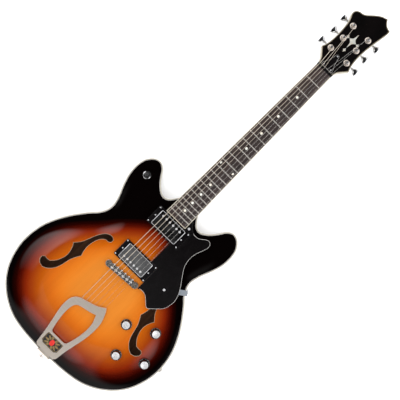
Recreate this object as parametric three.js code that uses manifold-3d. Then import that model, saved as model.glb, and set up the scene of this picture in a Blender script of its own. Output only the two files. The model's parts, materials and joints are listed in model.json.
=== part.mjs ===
// Semi-hollow electric guitar: an arched double-cutaway body round a centre block, a glued-in neck
// with a tilted headstock, two humbuckers, a tune-o-matic bridge and a trapeze tailpiece.
//
// Millimetres. +Y runs from the bridge line up the neck, +X is the treble side and +Z is the front.
// The origin is on the centre line under the bridge, on the flat of the back that the guitar lies on.
import * as THREE from 'three';
import { mergeVertices } from 'three/addons/utils/BufferGeometryUtils.js';
import Module from 'manifold-3d';

const wasm = await Module();
wasm.setup();

// ---------------------------------------------------------------------------------------------
// Driving dimensions

const SCALE = 628.65; // open string length, nut to bridge line
const GAP = 0.3; // room between pieces that touch

// Body: the plates rise from flat edges to a level middle.
const BACK_EDGE = 9; // z of the back plate's outer edge
const TOP_EDGE = 53; // z of the top plate's outer edge
const ARCH = 9; // rise of each plate
const ARCH_REACH = 85; // distance from the outline at which a plate is level
const PLATE = 4.5; // plate thickness
const RIM_WALL = 6; // rib and lining together
const RIM_LOW = BACK_EDGE + PLATE + GAP;
const RIM_HIGH = TOP_EDGE - PLATE - GAP;
const NECK_JOINT = 204; // y where the neck leaves the body
const TAIL = -251.4; // y of the body's tail

// Neck: set on a slope so that the strings rise over the bridge.
const NECK_TILT = 2; // degrees that the fingerboard falls away from the body
const HEAD_TILT = 7.3; // degrees more for the headstock
const BOARD_END = 164; // y of the fingerboard's body end
const BOARD_TOP = 70; // z of the fingerboard's crown at that end
const BOARD_THICK = 6;
const BOARD_RADIUS = 305; // crown of the fingerboard
const BOARD_HALF_END = 28.8; // half width at the body end
const NUT_HALF = 21.7; // half width at the nut
const NUT_LONG = 5.5; // nut, measured along the neck
const SHAFT_DEPTH_NUT = 14.5; // neck wood below the fingerboard, at the nut
const SHAFT_DEPTH_BODY = 17.8; // and near the body
const HEAD_DROP = 4.2; // headstock face below the fingerboard's crown
const HEAD_THICK = 14;
const NUT_V = (SCALE - BOARD_END) / Math.cos(THREE.MathUtils.degToRad(NECK_TILT));

// Strings, from the low E on the bass side (string 6) to the high E on the treble side (string 1).
// Saddles and tuners carry the number of their string.
const STRING_RADII = [0.62, 0.48, 0.36, 0.26, 0.21, 0.17];
const NUT_SPACING = 7.1;
const BRIDGE_SPACING = 10.4;
const STRING_OVER_NUT = 1.7; // string centre over the fingerboard plane at the nut
const STRING_AT_BRIDGE = 78.7; // z of the string centres at the saddles

// Pickups
const PICKUP = { length: 70.5, width: 38.3, height: 18, corner: 3 };
const RING = { length: 92, width: 45.2, corner: 2 };
const NECK_PICKUP = { y: 140.6, top: 70, ringTop: 66 };
const BRIDGE_PICKUP = { y: 38.7, top: 74, ringTop: 69.5 };

// Bridge
const BRIDGE_Y = -4.5;
const BRIDGE_SLANT = 4; // degrees, treble end towards the neck
const BRIDGE = { length: 88, width: 13, low: 66.6, high: 74 };
const STUD_SPREAD = 37.3; // each stud from the bridge's middle
const CHANNEL = { length: 66, width: 10.2 };
const SADDLE = { width: 7, thick: 4, low: 69.4 };
const SADDLE_OFFSETS = [-1.9, -1.2, -0.5, -1.0, -0.2, 0.6]; // intonation, along the strings
const SADDLE_ROOM = 0.5; // between crest and string, so that a saddle can slide under a rigid string

// Controls: neck volume, neck tone, bridge volume, bridge tone
const KNOBS = [
  { name: 'neck_volume', x: 84.9, y: -76.2 },
  { name: 'neck_tone', x: 143.9, y: -45.7 },
  { name: 'bridge_tone', x: 173.3, y: -110.8 },
  { name: 'bridge_volume', x: 115.4, y: -139.3 },
];
const SWITCH = { x: -114.9, y: 189.1 };
const JACK = { y: -100, z: 31 };

// Tuners on the headstock: half spacing w and distance s from the nut
const TUNERS = [
  { w: -24.5, s: 43.5 },
  { w: -20.4, s: 79.8 },
  { w: -23.2, s: 116.2 },
  { w: 23.2, s: 116.2 },
  { w: 20.4, s: 79.8 },
  { w: 24.5, s: 43.5 },
];
const TUNER = { post: 3, gear: 4.5, worm: 2.1, centres: 7, wormLevel: -20.5, low: -25.8 };

// ---------------------------------------------------------------------------------------------
// Materials

function finish(color, roughness, metalness) {
  return new THREE.MeshStandardMaterial({ color, roughness, metalness });
}
const MAPLE_BURST = finish(0xd9761e, 0.2, 0);
const BLACK_LACQUER = finish(0x0a0808, 0.2, 0);
const RAW_WOOD = finish(0xb98d5e, 0.7, 0);
const RESINATOR = finish(0x33292a, 0.45, 0);
const BLACK_PLASTIC = finish(0x121214, 0.35, 0);
const CHROME = finish(0xc9c9cc, 0.15, 1);
const SATIN_NICKEL = finish(0xbdb3aa, 0.35, 1);
const STRING_STEEL = finish(0xc8bfae, 0.3, 1);
const ALUMINIUM = finish(0xb5b5b8, 0.4, 1);

// ---------------------------------------------------------------------------------------------
// Solids and shapes

function toSolid(geometry) {
  const bare = new THREE.BufferGeometry().setAttribute('position', geometry.getAttribute('position'));
  bare.setIndex(geometry.index);
  const merged = mergeVertices(bare, 1e-4);
  return new wasm.Manifold(new wasm.Mesh({
    numProp: 3,
    vertProperties: Float32Array.from(merged.getAttribute('position').array),
    triVerts: Uint32Array.from(merged.index.array),
  }));
}

function toGeometry(solid) {
  const { vertProperties, triVerts } = solid.getMesh();
  const geometry = new THREE.BufferGeometry();
  geometry.setAttribute('position', new THREE.BufferAttribute(vertProperties, 3));
  geometry.setIndex(new THREE.BufferAttribute(triVerts, 1));
  geometry.computeVertexNormals();
  return geometry;
}

function join(...geometries) {
  return toGeometry(geometries.map(toSolid).reduce((a, b) => a.add(b)));
}

function cut(geometry, ...tools) {
  return toGeometry(tools.map(toSolid).reduce((a, b) => a.subtract(b), toSolid(geometry)));
}

function common(a, b) {
  return toGeometry(toSolid(a).intersect(toSolid(b)));
}

function points2(pairs) {
  return pairs.map(([x, y]) => new THREE.Vector2(x, y));
}

// A closed outline made of smooth runs that meet at corners; each run is a list of points.
function outlineOf(...runs) {
  const shape = new THREE.Shape();
  shape.moveTo(...runs[0][0]);
  for (const run of runs) {
    const rest = points2(run.slice(1));
    if (rest.length === 1) shape.lineTo(rest[0].x, rest[0].y);
    else shape.splineThru(rest);
  }
  return shape;
}

function roundedRectangle(length, width, corner, y = 0) {
  const shape = new THREE.Shape();
  const [a, b] = [length / 2 - corner, width / 2 - corner];
  shape.absarc(a, y + b, corner, 0, Math.PI / 2);
  shape.absarc(-a, y + b, corner, Math.PI / 2, Math.PI);
  shape.absarc(-a, y - b, corner, Math.PI, 1.5 * Math.PI);
  shape.absarc(a, y - b, corner, 1.5 * Math.PI, 2 * Math.PI);
  return shape;
}

function prism(shape, low, high, curveSegments = 2) {
  const depth = high - low;
  return new THREE.ExtrudeGeometry(shape, { depth, bevelEnabled: false, curveSegments }).translate(0, 0, low);
}

function box(x0, x1, y0, y1, z0, z1) {
  const middle = [(x0 + x1) / 2, (y0 + y1) / 2, (z0 + z1) / 2];
  return new THREE.BoxGeometry(x1 - x0, y1 - y0, z1 - z0).translate(...middle);
}

// A cylinder whose axis is Z.
function rod(radius, low, high, sides = 12, x = 0, y = 0) {
  const made = new THREE.CylinderGeometry(radius, radius, high - low, sides);
  return made.rotateX(Math.PI / 2).translate(x, y, (low + high) / 2);
}

// A profile of [radius, height] pairs turned about Z, from its lowest point up.
function turned(profile, sides = 12) {
  return new THREE.LatheGeometry(points2(profile), sides).rotateX(Math.PI / 2);
}

// Sections with the same number of points, joined into one closed skin with flat ends.
function loft(sections) {
  const count = sections[0].length;
  const positions = sections.flat().flatMap((p) => [p.x, p.y, p.z]);
  const index = [];
  for (let i = 0; i + 1 < sections.length; i += 1) {
    for (let j = 0; j < count; j += 1) {
      const [a, b] = [i * count + j, i * count + ((j + 1) % count)];
      index.push(a, b, b + count, a, b + count, a + count);
    }
  }
  const last = (sections.length - 1) * count;
  for (let j = 1; j + 1 < count; j += 1) {
    index.push(0, j + 1, j, last, last + j, last + j + 1);
  }
  const geometry = new THREE.BufferGeometry();
  geometry.setAttribute('position', new THREE.Float32BufferAttribute(positions, 3));
  geometry.setIndex(index);
  geometry.computeVertexNormals();
  return geometry;
}

// A path whose steps fall on its own corners, for wire bent over edges.
class BentPath extends THREE.Curve {
  constructor(corners) {
    super();
    this.corners = corners;
  }

  getPoint(t) {
    const place = t * (this.corners.length - 1);
    const i = Math.min(Math.floor(place), this.corners.length - 2);
    return this.corners[i].clone().lerp(this.corners[i + 1], place - i);
  }

  getPointAt(u) {
    return this.getPoint(u);
  }

  getTangentAt(u) {
    const reach = 0.5 / (this.corners.length - 1);
    const ahead = this.getPoint(Math.min(u + reach, 1));
    return ahead.sub(this.getPoint(Math.max(u - reach, 0))).normalize();
  }
}

function wire(corners, radius) {
  const section = new THREE.Shape().absarc(0, 0, radius, 0, 2 * Math.PI);
  const settings = { steps: corners.length - 1, extrudePath: new BentPath(corners), curveSegments: 4 };
  return new THREE.ExtrudeGeometry(section, settings);
}

function named(name, geometry, material) {
  const mesh = new THREE.Mesh(geometry, material);
  mesh.name = name;
  return mesh;
}

// ---------------------------------------------------------------------------------------------
// Frames

const guitar = new THREE.Group();

// Neck frame: y along the fingerboard from its body end, z off its crown.
const neckFrame = new THREE.Group();
neckFrame.position.set(0, BOARD_END, BOARD_TOP);
neckFrame.rotation.x = -THREE.MathUtils.degToRad(NECK_TILT);
guitar.add(neckFrame);

// Headstock frame: y along the headstock from the nut, z off its face.
const headFrame = new THREE.Group();
headFrame.position.set(0, NUT_V + NUT_LONG + 0.5, -HEAD_DROP);
headFrame.rotation.x = -THREE.MathUtils.degToRad(HEAD_TILT);
neckFrame.add(headFrame);

// Bridge frame: x along the slanted bridge.
const bridgeFrame = new THREE.Group();
bridgeFrame.position.set(0, BRIDGE_Y, 0);
bridgeFrame.rotation.z = THREE.MathUtils.degToRad(BRIDGE_SLANT);
guitar.add(bridgeFrame);
guitar.updateMatrixWorld(true);

function headPoint(w, s, m) {
  return headFrame.localToWorld(new THREE.Vector3(w, s, m));
}

// ---------------------------------------------------------------------------------------------
// Body outline and arch

// Treble half of the outline, from the tail round the lower bout, waist and horn to the neck.
const HALF_OUTLINE = [
  [0, TAIL], [60, -249.3], [112, -239], [157, -213], [189, -176], [205.5, -132], [208.8, -92],
  [201.5, -49], [181, -5], [152, 36], [131, 60], [121.8, 84], [126.5, 110], [138.5, 140],
  [146.3, 170], [145, 203], [132, 224.5], [114.6, 231.5], [99.5, 223.5], [86.5, 205], [72, 189.5],
  [56, 181], [42, 186.5], [29, NECK_JOINT],
];
const mirrored = (run) => run.map(([x, y]) => [-x, y]).reverse();
const bodyShape = outlineOf([...mirrored(HALF_OUTLINE.slice(1)), ...HALF_OUTLINE], [
  [29, NECK_JOINT], [-29, NECK_JOINT],
]);
const bodyPoints = bodyShape.getPoints(2);
const finePoints = bodyShape.getSpacedPoints(600);

// The outline moved inwards by a wall's thickness.
function insetOutline(wall) {
  const ring = bodyPoints.slice(0, -1);
  const moved = ring.map((p, i) => {
    const along = ring[(i + 1) % ring.length].clone().sub(ring.at(i - 1)).normalize();
    return new THREE.Vector2(p.x - along.y * wall, p.y + along.x * wall);
  });
  return new THREE.Shape(moved);
}

function insideBody(x, y) {
  let inside = false;
  for (let i = 0, j = bodyPoints.length - 1; i < bodyPoints.length; j = i, i += 1) {
    const [a, b] = [bodyPoints[i], bodyPoints[j]];
    if ((a.y > y) !== (b.y > y) && x < ((b.x - a.x) * (y - a.y)) / (b.y - a.y) + a.x) inside = !inside;
  }
  return inside;
}

// Smooth distance to the outline: the inverse sixth-power mean over its length, which is the true
// distance near one edge and rounds over where edges face each other.
function edgeDistance(x, y) {
  const step = bodyShape.getLength() / (finePoints.length - 1);
  let sum = 0;
  for (const p of finePoints) sum += step / Math.max(Math.hypot(x - p.x, y - p.y), 1) ** 6;
  return ((3 * Math.PI) / 8 / sum) ** (1 / 5);
}

function rise(x, y) {
  if (!insideBody(x, y)) return 0;
  const t = Math.min(edgeDistance(x, y) / ARCH_REACH, 1);
  return ARCH * t * t * (3 - 2 * t);
}

const GRID = { width: 432, height: 504, columns: 12, rows: 14, middle: -10 };
const topOuter = (x, y) => TOP_EDGE + rise(x, y);
const backOuter = (x, y) => BACK_EDGE - rise(x, y);

// Everything below a height function, over the body's rectangle.
function under(heightOf) {
  const { width, height, columns, rows, middle } = GRID;
  const geometry = new THREE.BoxGeometry(width, height, 1, columns, rows, 1).translate(0, middle, 0);
  const places = geometry.getAttribute('position');
  for (let i = 0; i < places.count; i += 1) {
    places.setZ(i, places.getZ(i) > 0 ? heightOf(places.getX(i), places.getY(i)) : -20);
  }
  return geometry;
}
const underTop = under(topOuter);
const underBack = under(backOuter);
const raised = (geometry, by) => geometry.clone().translate(0, 0, by);

// A frame standing on the top plate, its z along the plate's normal.
function frameOnTop(x, y) {
  const reach = 4;
  const slopeX = (rise(x + reach, y) - rise(x - reach, y)) / (2 * reach);
  const slopeY = (rise(x, y + reach) - rise(x, y - reach)) / (2 * reach);
  const normal = new THREE.Vector3(-slopeX, -slopeY, 1).normalize();
  const frame = new THREE.Group();
  frame.quaternion.setFromUnitVectors(new THREE.Vector3(0, 0, 1), normal);
  frame.position.set(x, y, topOuter(x, y));
  frame.updateMatrixWorld(true);
  return frame;
}

// ---------------------------------------------------------------------------------------------
// Body

// Bass f-hole: two smooth runs between its pointed wings. The treble one is its mirror image.
const F_HOLE_OUTER = [
  [-92.5, -38.8], [-100.5, -53], [-105.5, -66], [-110.8, -87.4], [-118, -102], [-131.2, -114],
  [-141, -116], [-150.5, -111], [-154.5, -103.5], [-151.5, -97], [-144, -95.2], [-137.3, -97.6],
  [-125.5, -86], [-117.6, -69], [-116, -54], [-120, -39], [-125, -30.5],
];
const F_HOLE_INNER = [
  [-125, -30.5], [-112.9, -15.2], [-105.5, 2], [-97, 21.5], [-86.5, 34.5], [-76.3, 38.8],
  [-69, 37.8], [-65, 31.8], [-69.5, 25], [-76, 25.2], [-85, 20.5], [-92.8, 8], [-97, -10],
  [-96, -27], [-92.5, -38.8],
];
const fHoles = [
  prism(outlineOf(F_HOLE_OUTER, F_HOLE_INNER), 40, 80, 1),
  prism(outlineOf(mirrored(F_HOLE_INNER), mirrored(F_HOLE_OUTER)), 40, 80, 1),
];

const controlFrames = KNOBS.map(({ x, y }) => frameOnTop(x, y));
const switchFrame = frameOnTop(SWITCH.x, SWITCH.y);

// Room for a pickup and for the feet that its height screws pass through.
function pickupRoom(y, low) {
  const main = box(-36.7, 36.7, y - 20.6, y + 20.6, low, 80);
  return join(main, box(-45, 45, y - 7.5, y + 7.5, low, 80));
}

function topPlate() {
  const holes = [
    ...fHoles,
    pickupRoom(NECK_PICKUP.y, 40),
    pickupRoom(BRIDGE_PICKUP.y, 40),
    box(-28.9, 28.9, BOARD_END + 0.5, NECK_JOINT + 5, 40, 80),
    ...controlFrames.map((frame) => rod(5.2, -12, 12, 10).applyMatrix4(frame.matrixWorld)),
    rod(6.6, -12, 12, 10).applyMatrix4(switchFrame.matrixWorld),
    ...[-1, 1].map((side) => rod(5, 40, 80, 10, side * STUD_SPREAD).applyMatrix4(bridgeFrame.matrixWorld)),
  ];
  return cut(common(prism(bodyShape, 30, 80), underTop), raised(underTop, -PLATE), ...holes);
}

function backPlate() {
  return cut(common(prism(bodyShape, -5, 30), raised(underBack, PLATE)), underBack);
}

function rim() {
  const hollow = prism(insetOutline(RIM_WALL), RIM_LOW - 5, RIM_HIGH + 5);
  const jackHole = rod(5.2, 180, 230, 12).rotateY(Math.PI / 2).translate(0, JACK.y, JACK.z);
  const tenonSlot = box(-22.3, 22.3, 190, NECK_JOINT + 5, 40, 60);
  return cut(prism(bodyShape, RIM_LOW, RIM_HIGH), hollow, jackHole, tenonSlot);
}

function centreBlock() {
  const plan = new THREE.Shape(points2([
    [-50, TAIL + 8], [50, TAIL + 8], [50, 160], [22, 192], [-22, 192], [-50, 160],
  ]));
  const filling = common(prism(plan, -5, 80), raised(underTop, -PLATE - GAP));
  const holes = [
    raised(underBack, PLATE + GAP),
    pickupRoom(NECK_PICKUP.y, 40),
    pickupRoom(BRIDGE_PICKUP.y, 40),
    box(-22.3, 22.3, BOARD_END + 1.7, 200, 40, 80),
    box(-28.9, 28.9, BOARD_END + 0.5, 200, 48.5, 80),
    ...[-1, 1].map((side) => rod(4.4, 34, 80, 10, side * STUD_SPREAD).applyMatrix4(bridgeFrame.matrixWorld)),
  ];
  return cut(filling, ...holes);
}

guitar.add(
  named('top_plate', topPlate(), MAPLE_BURST),
  named('back_plate', backPlate(), BLACK_LACQUER),
  named('rim', rim(), BLACK_LACQUER),
  named('centre_block', centreBlock(), RAW_WOOD),
);

// ---------------------------------------------------------------------------------------------
// Neck

function boardHalf(v) {
  return BOARD_HALF_END + ((NUT_HALF - BOARD_HALF_END) * v) / NUT_V;
}

// A rounded section below a flat face: fullness 2 is a half ellipse, more is squarer.
function roundedSection(v, half, top, depth, fullness) {
  const sides = 8;
  const section = [];
  for (let i = 0; i <= sides; i += 1) {
    const angle = (Math.PI * i) / sides;
    const across = Math.sign(Math.cos(angle)) * Math.abs(Math.cos(angle)) ** (2 / fullness);
    const down = Math.abs(Math.sin(angle)) ** (2 / fullness);
    section.push(new THREE.Vector3(half * across, v, top - depth * down));
  }
  return section;
}

function neckShaft() {
  const top = -BOARD_THICK - GAP;
  const heel = [[42.3, 50, 3.4], [50, 44.5, 3.2], [60, 33, 2.8], [72, 23.5, 2.4], [90, 19, 2.2]];
  const shaft = [
    [120, SHAFT_DEPTH_BODY, 2.1], [NUT_V - 60, SHAFT_DEPTH_NUT, 2.1], [NUT_V + 4, SHAFT_DEPTH_NUT, 2.1],
  ];
  const sections = [...heel, ...shaft].map(
    ([v, depth, fullness]) => roundedSection(v, boardHalf(Math.min(v, NUT_V)), top, depth, fullness),
  );
  sections.push(roundedSection(NUT_V + 30, 20, top - 5.5, 11, 2));
  return loft(sections);
}

// Half width w and distance s from the nut, round the headstock from the treble side.
const HEAD_FLARE = [[21.7, -3], [22.6, 5.5], [26.5, 13.5], [33, 21.8], [42, 32.8]];
const HEAD_SIDE = [[42, 32.8], [38.2, 42], [35.6, 58], [34.8, 76], [36, 98], [39, 122]];
const HEAD_TREBLE_SIDE = [...HEAD_SIDE, [42, 141], [44.6, 158], [44.2, 168]];
const HEAD_TOP_RIGHT = [[44.2, 168], [35.9, 170.2], [28.5, 175], [21.5, 185.7]];
const HEAD_TOP_LEFT = [
  [21.5, 185.7], [5, 179], [-8.5, 168], [-18.8, 158], [-27, 153.2], [-37.3, 151.6], [-43, 147],
  [-45.6, 139], [-43.8, 130.5],
];
const headShape = outlineOf(
  HEAD_FLARE,
  HEAD_TREBLE_SIDE,
  HEAD_TOP_RIGHT,
  [...HEAD_TOP_LEFT, ...mirrored(HEAD_SIDE)],
  mirrored(HEAD_FLARE),
  [[-21.7, -3], [21.7, -3]],
);

function neck() {
  const neckMatrix = neckFrame.matrixWorld;
  const toNeck = neckMatrix.clone().invert();
  const head = prism(headShape, -HEAD_THICK, 0, 1).applyMatrix4(headFrame.matrix);
  const postHoles = TUNERS.map(({ w, s }) => rod(4.9, -30, 10, 8, w, s).applyMatrix4(headFrame.matrix));
  const under = BOARD_TOP - BOARD_THICK - 1.8;
  const tongue = box(-28, 28, BOARD_END + 1, NECK_JOINT + 6, 49, under).applyMatrix4(toNeck);
  const tenon = box(-21.9, 21.9, BOARD_END + 2, NECK_JOINT + 6, 40.4, under).applyMatrix4(toNeck);
  const rodChannel = box(-3.3, 3.3, 18, NUT_V + 30, -16.6, 2);
  const nutSeat = box(-30, 30, NUT_V, NUT_V + NUT_LONG + 0.5, -BOARD_THICK - GAP, 5);
  return cut(join(neckShaft(), head, tongue, tenon), ...postHoles, rodChannel, nutSeat);
}

function fingerboard() {
  const sides = 4;
  const sectionAt = (v) => {
    const half = boardHalf(v);
    const section = [new THREE.Vector3(-half, v, -BOARD_THICK), new THREE.Vector3(half, v, -BOARD_THICK)];
    for (let i = 0; i <= sides; i += 1) {
      const x = half * (1 - (2 * i) / sides);
      section.push(new THREE.Vector3(x, v, Math.sqrt(BOARD_RADIUS ** 2 - x * x) - BOARD_RADIUS));
    }
    return section.reverse();
  };
  return loft([sectionAt(0), sectionAt(NUT_V - GAP)]);
}

function nutBlock() {
  const block = box(-NUT_HALF, NUT_HALF, NUT_V, NUT_V + NUT_LONG, -BOARD_THICK, 2.4);
  const slots = STRING_RADII.map((radius, i) => {
    const x = (i - 2.5) * NUT_SPACING;
    return box(x - radius - 0.2, x + radius + 0.2, NUT_V - 5, NUT_V + 10, STRING_OVER_NUT - radius - GAP, 5);
  });
  return cut(block, ...slots);
}

function trussRod() {
  const bar = box(-3, 3, 20, NUT_V + 8, -16.2, -BOARD_THICK - 1);
  const adjuster = rod(3, NUT_V + 7, NUT_V + 17, 6).rotateX(-Math.PI / 2).translate(0, 0, -12);
  return join(bar, adjuster);
}

function trussRodCover() {
  const shape = outlineOf([
    [15, 1.5], [14.5, 9], [9, 20], [5.5, 33], [4, 41.5], [0, 43.5], [-4, 41.5], [-5.5, 33], [-9, 20],
    [-14.5, 9], [-15, 1.5],
  ], [[-15, 1.5], [15, 1.5]]);
  return prism(shape, GAP, 2.3, 1);
}

neckFrame.add(
  named('neck', neck(), BLACK_LACQUER),
  named('fingerboard', fingerboard(), RESINATOR),
  named('nut', nutBlock(), BLACK_PLASTIC),
  named('truss_rod', trussRod(), ALUMINIUM),
);
headFrame.add(named('truss_rod_cover', trussRodCover(), BLACK_PLASTIC));

// ---------------------------------------------------------------------------------------------
// Tuners: a housing with its bushing, a post with its gear, and a key with its worm and button

// The button is widest at its outer end.
const BUTTON = outlineOf([
  [19, -3.2], [22, -4.2], [26, -8.6], [30, -10.4], [33.4, -8], [34.4, 0], [33.4, 8], [30, 10.4],
  [26, 8.6], [22, 4.2], [19, 3.2],
], [[19, 3.2], [19, -3.2]]);

function tunerHousing(outward) {
  const { gear, worm, centres, wormLevel, low } = TUNER;
  const shell = prism(roundedRectangle(17, 18.5, 3, 1.75), low, -HEAD_THICK - GAP, 1);
  const neckOfKey = rod(3.6, 7, 11, 8).rotateY((outward * Math.PI) / 2).translate(0, centres, wormLevel);
  const bushing = rod(4.4, -HEAD_THICK - 2, 1, 8);
  const flange = rod(7.2, GAP, 2.3, 12);
  const gearRoom = rod(gear + 0.6, wormLevel - 3, wormLevel + 3, 8);
  const postRoom = rod(TUNER.post + 0.5, wormLevel - 1, 8, 8);
  const wormRoom = rod(worm + 0.6, -7, 14, 8).rotateY((outward * Math.PI) / 2);
  wormRoom.translate(0, centres, wormLevel);
  return cut(join(shell, neckOfKey, bushing, flange), gearRoom, postRoom, wormRoom);
}

function tunerPost() {
  const { post, gear, wormLevel } = TUNER;
  return turned([
    [0, wormLevel - 2.5], [gear, wormLevel - 2.5], [gear, wormLevel + 2.5], [post, wormLevel + 2.5],
    [post, 3], [post - 0.5, 4], [post - 0.5, 8], [post, 9], [post, 11], [0, 11],
  ], 8);
}

function tunerKey(outward) {
  const { worm, centres, wormLevel } = TUNER;
  const shaftProfile = [[0, -6.5], [worm, -6.5], [worm, 12], [2.8, 12], [2.8, 20], [0, 20]];
  const shaft = turned(shaftProfile, 8).rotateY(Math.PI / 2);
  const button = prism(BUTTON, -3.6, 3.6, 1);
  const key = join(shaft, button);
  if (outward < 0) key.rotateZ(Math.PI);
  return key.translate(0, centres, wormLevel);
}

TUNERS.forEach(({ w, s }, i) => {
  const outward = Math.sign(w);
  const stand = new THREE.Group();
  stand.position.set(w, s, 0);
  stand.add(
    named(`tuner_${6 - i}_housing`, tunerHousing(outward), CHROME),
    named(`tuner_${6 - i}_post`, tunerPost(), CHROME),
    named(`tuner_${6 - i}_key`, tunerKey(outward), CHROME),
  );
  headFrame.add(stand);
});

// ---------------------------------------------------------------------------------------------
// Pickups and their mounting rings

function pickupRing({ y, ringTop }) {
  const outer = prism(roundedRectangle(RING.length, RING.width, RING.corner, y), 50, ringTop, 1);
  const room = roundedRectangle(PICKUP.length + 1.2, PICKUP.width + 1.2, PICKUP.corner, y);
  const window = prism(room, 40, 90, 1);
  return cut(outer, window, raised(underTop, GAP));
}

function pickup({ y, top }) {
  const { length, width, height, corner } = PICKUP;
  const can = prism(roundedRectangle(length, width, corner, y), top - height, top, 2);
  const feet = box(-43, 43, y - 6, y + 6, top - height - 1.6, top - height + 0.2);
  return join(can, feet);
}

guitar.add(
  named('neck_pickup_ring', pickupRing(NECK_PICKUP), BLACK_PLASTIC),
  named('bridge_pickup_ring', pickupRing(BRIDGE_PICKUP), BLACK_PLASTIC),
  named('neck_pickup', pickup(NECK_PICKUP), CHROME),
  named('bridge_pickup', pickup(BRIDGE_PICKUP), CHROME),
);

// ---------------------------------------------------------------------------------------------
// Bridge: a channelled bar on two studs with wheels, holding six saddles

function stringX(i) {
  return (i - 2.5) * BRIDGE_SPACING;
}

function bridgeBar() {
  const { length, width, low, high } = BRIDGE;
  const bar = prism(roundedRectangle(length, width, width / 2 - 0.1), low, high, 4);
  const [channelX, channelY] = [CHANNEL.length / 2, CHANNEL.width / 2];
  const channel = box(-channelX, channelX, -channelY, channelY, low + 2.4, high + 5);
  const studHoles = [-1, 1].map((side) => rod(3.5, low - 1, high + 1, 10, side * STUD_SPREAD));
  return cut(bar, channel, ...studHoles);
}

function bridgeStud(side) {
  const wheelTop = BRIDGE.low - GAP;
  return turned([
    [0, 38], [4, 38], [4, wheelTop - 1.8], [8.3, wheelTop - 1.8], [8.3, wheelTop], [3.1, wheelTop],
    [3.1, BRIDGE.high - 0.6], [0, BRIDGE.high - 0.6],
  ], 12).translate(side * STUD_SPREAD, 0, 0);
}

function saddleCrest(i) {
  return STRING_AT_BRIDGE - STRING_RADII[i] - SADDLE_ROOM;
}

function saddle(i) {
  const crest = saddleCrest(i);
  const half = SADDLE.thick / 2;
  const profile = new THREE.Shape(points2([
    [-half, SADDLE.low], [half, SADDLE.low],
    [half, crest - 4], [0.5, crest], [-0.5, crest], [-half, crest - 3],
  ]));
  const x = stringX(i);
  const bodyOf = prism(profile, -SADDLE.width / 2, SADDLE.width / 2);
  bodyOf.applyMatrix4(new THREE.Matrix4().makeBasis(
    new THREE.Vector3(0, 1, 0), new THREE.Vector3(0, 0, 1), new THREE.Vector3(1, 0, 0),
  ));
  return bodyOf.translate(x, SADDLE_OFFSETS[i], 0);
}

bridgeFrame.add(
  named('bridge_bar', bridgeBar(), SATIN_NICKEL),
  named('bridge_stud_bass', bridgeStud(-1), SATIN_NICKEL),
  named('bridge_stud_treble', bridgeStud(1), SATIN_NICKEL),
  ...STRING_RADII.map((_, i) => named(`saddle_${6 - i}`, saddle(i), SATIN_NICKEL)),
);

// ---------------------------------------------------------------------------------------------
// Tailpiece: a cast frame that hangs on a pin in a bracket screwed to the rim

const TAILPIECE = { thick: 4, slope: 2.8, rear: -245.6, rearLow: 59.2 };
const PIN = { y: -250.6, z: 58.4, radius: 1.5, half: 17.5 };
const TAIL_FRONT = [[-26, -103.2], [-9, -98.2], [4, -94.2], [16, -89], [24, -83.6], [28.6, -80.8]];
const TAIL_TREBLE = [
  [28.6, -80.8], [34.6, -89.8], [40, -103], [43.7, -117], [44.6, -137], [42.8, -158], [37, -188],
  [31.8, -212], [28.6, -235], [26.4, -241.5], [20, TAILPIECE.rear],
];
const TAIL_BASS = [
  [-22, TAILPIECE.rear], [-28.6, -242.5], [-30.4, -234], [-34.2, -207], [-39.6, -179], [-45, -150],
  [-45.6, -132], [-43, -119], [-36.5, -109.5], [-26, -103.2],
];
const LOOP_TREBLE = [
  [22.8, -107.5], [27, -117], [30.6, -130], [31.4, -149], [28.2, -173], [23.6, -191], [19.5, -200],
  [14, -201.8],
];
const LOOP_BASS = [
  [-17, -201.8], [-22.4, -199.5], [-25.4, -190], [-29, -170], [-30.6, -149], [-28.8, -131],
  [-22.5, -120.6], [-10, -116.3], [8, -112.2], [22.8, -107.5],
];
const BADGE_ROOM = [
  [-25.4, -207.2], [19.6, -207.2], [19.6, -228.5], [13.5, -233.5], [-19.3, -233.5], [-25.4, -228.5],
];

// Local y runs forward from the rear edge, so the outlines are shifted to it.
const tailFrame = new THREE.Group();
tailFrame.position.set(0, TAILPIECE.rear, TAILPIECE.rearLow);
tailFrame.rotation.x = THREE.MathUtils.degToRad(TAILPIECE.slope);
guitar.add(tailFrame);
guitar.updateMatrixWorld(true);

function tailpiece() {
  const back = new THREE.Matrix4().makeTranslation(0, -TAILPIECE.rear, 0);
  const outline = outlineOf(TAIL_FRONT, TAIL_TREBLE, [TAIL_TREBLE.at(-1), TAIL_BASS[0]], TAIL_BASS);
  const plate = prism(outline, 0, TAILPIECE.thick);
  const loop = prism(outlineOf(LOOP_TREBLE, [LOOP_TREBLE.at(-1), LOOP_BASS[0]], LOOP_BASS), -5, 10);
  const badgeRoom = prism(new THREE.Shape(points2(BADGE_ROOM)), 1.5, 10);
  const frame = cut(plate.applyMatrix4(back), loop.applyMatrix4(back), badgeRoom.applyMatrix4(back));
  const toTail = tailFrame.matrixWorld.clone().invert();
  const knuckle = rod(PIN.radius + 2.1, -14, 14, 12).rotateY(Math.PI / 2).translate(0, PIN.y, PIN.z);
  const tongue = box(-14, 14, PIN.y, TAILPIECE.rear + 6, PIN.z + 1, PIN.z + 3.4);
  const pinRoom = rod(PIN.radius + 0.35, -20, 20, 12).rotateY(Math.PI / 2).translate(0, PIN.y, PIN.z);
  const moved = [knuckle, tongue, pinRoom].map((piece) => piece.applyMatrix4(toTail));
  return cut(join(frame, moved[0], moved[1]), moved[2]);
}

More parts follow.
